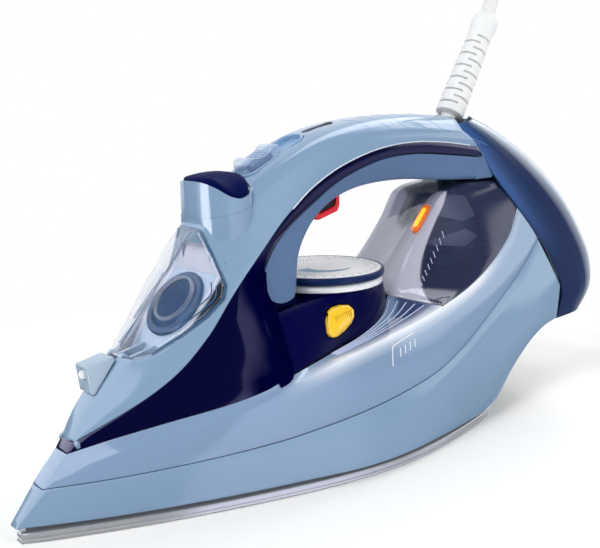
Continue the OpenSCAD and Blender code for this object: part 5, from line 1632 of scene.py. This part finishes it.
def add_heel():
    """The heel cover, open where the cord guard swings."""
    piece = shell("heel_skin", heel_rows(), heel_plastic, 3 * MM, 0, 0)
    rooms = []
    for turn in (-15, -7.5, 0, 7.5, 15):
        pose = leaned(SWIVEL_AT, -SWIVEL_LEAN - turn)
        rooms.append(prism("guard_room", disc(8.2 * MM), 8, 28, pose))
        rooms.append(prism("socket_room", disc(9.2 * MM), 0, 9, pose))
    toe = [(240, 30), (300, 36), (320, 41.6), (331, 45), (338, 58), (338, 175), (240, 175)]
    made(piece, rooms, side_block("heel_blank", toe, 9, 60), rim=(1.2, 32, 3), sharp=40)
    front, corner = guide(heel_front), guide(heel_corner)
    # Painted highlight along the outer edge, and painted light on the heel beside the handle
    painted(piece, "rim", lambda p: 0.9 * math.exp(-(distance(corner, p) / 3.2) ** 2))
    painted(piece, "lit", lambda p: math.exp(-(distance(front, p) / 6) ** 2) * eased((p[2] / MM - 70) / 50))
    stands_for(piece, "iron", "heel_blue", "heel_cover")


add_lower_shell()
add_tank()
add_window()
add_panel()
add_hump()
add_housing()
add_door()
add_grip()
add_heel()
add_inner_frame()
add_collar_skirt()
add_spray_button()
add_slider()
add_light()
add_nozzle()
add_trigger()
add_calc_button()
add_lens()
add_guard()
add_marks()
add_door_lines()
add_mouth()
add_edges()


# ---- sole plate ----------------------------------------------------------------------------------
def plate_ring(inset, z):
    """The plate's outline, moved inwards by an inset, at a height."""
    line = around(smooth([[x - MIDDLE, y, 0] for x, y in sole_edge], 6)) * MM
    n = len(line)
    ring = []
    for k in range(n):
        d = line[(k + 1) % n] - line[k - 1]
        d = d / np.linalg.norm(d)
        ring.append((line[k][0] - inset * MM * d[1], line[k][1] + inset * MM * d[0], z * MM))
    return ring


def add_plate():
    """A plate with a rounded lower edge, a fine groove and a rolled upper lip."""
    profile = [(1.6, 0), (0.9, 0.12), (0.4, 0.45), (0.1, 0.9), (0, 1.5), (0.1, 1.85), (0.75, 2.0), (0.8, 2.3),
               (0.75, 2.6), (0.25, 2.8), (0.3, 3.4), (0.35, 4.2), (0.6, 4.5), (1.1, 4.6)]
    piece = grid_piece("sole_plate", [plate_ring(i, z) for i, z in profile], plate_steel, closed=True)
    closed_up(piece)
    vents = [(58 + 27 * k, side * (14 + 4.6 * k)) for k in range(6) for side in (-1, 1)]
    vents += [(30 + 14 * k, 0) for k in range(9)]
    vents += [(205 + 12 * k, side * (37 - 3 * k)) for k in range(4) for side in (-1, 1)]
    drill = bpy.data.meshes.new("vents")
    holes = bmesh.new()
    for x, y in vents:
        bmesh.ops.create_cone(holes, cap_ends=True, segments=20, radius1=1.8 * MM, radius2=1.8 * MM,
                              depth=3 * MM, matrix=at(x, y))
    holes.to_mesh(drill)
    holes.free()
    made(piece, [new_piece("vents", drill, None)], sharp=50)
    stands_for(piece, "iron", "polished_plate", "soleplate")


add_plate()


# ---- dial ----------------------------------------------------------------------------------------
def add_dial():
    """The pale bezel, the blue edge, the stem and the printed face with a fine groove."""
    bezel = [(25, 79.1), (29.4, 79.1), (29.9, 79.4), (30, 80), (29.7, 81.4), (29.2, 82.2), (28.6, 82.5),
             (25, 82.5), (25, 79.1)]
    stands_for(lathe("dial_ring", bezel, silver_ring, DIAL_POSE), "iron", "silver_trim", "dial_bezel")
    edge = [(0, 82.8), (30.2, 82.8), (30.8, 83.1), (31, 83.7), (31, 85.3), (30.8, 86), (30.3, 86.4),
            (29.9, 86.4), (29.6, 86.1), (29.5, 85.4), (0, 85.4)]
    rim = lathe("dial_rim", edge, dial_navy, DIAL_POSE)
    shaft = lathe("dial_shaft", stem_outline(24, 82.9, 4), nylon_grey, DIAL_POSE)
    plate = [(0, 85.4), (29.4, 85.4), (29.4, 86.1), (29.2, 86.3), (28.8, 86.4), (24.4, 86.4), (24.1, 86.2),
             (23.8, 86.2), (23.5, 86.4), (0, 86.4)]
    face = lathe("dial_plate", plate, dial_print, DIAL_POSE)
    stands_for(rim, "dial", "navy_gloss", "temperature_dial")
    stands_for(shaft, "dial", "inner_grey")
    stands_for(face, "dial", "dial_cream", "dial_face")


add_dial()
add_dial_marks()


# ---- plain finishes for the solids that stay -----------------------------------------------------
DRESSED = [
    (casting_grey, ["soleplate_casting"]),
    (element_steel, ["heating_element", "steam_chamber_cover"]),
    (silicone_red, ["chamber_seal"]),
    (skirt_grey, ["heat_shield"]),
    (ceramic_cream, ["thermostat", "thermal_fuse", "terminal_block"]),
    (zinc_steel, ["mounting_posts", "screws", "door_pin"]),
    (nylon_grey, ["rear_base_cover", "tank_floor", "calc_valve", "handle_core", "strut_frame"]),
    (acetal_white, ["spray_pump", "steam_pump"]),
    (spring_steel, ["spray_button_spring", "trigger_spring"]),
    (board_green, ["control_board"]),
    (navy, ["cord_socket"]),
    (cup_plastic, ["filler_cup"]),
    (tie_tape, ["cord_tie"]),
    (pin_metal, ["plug_pins"]),
]
for material, names in DRESSED:
    for name in names:
        nodes[name].data.materials.clear()
        nodes[name].data.materials.append(material)
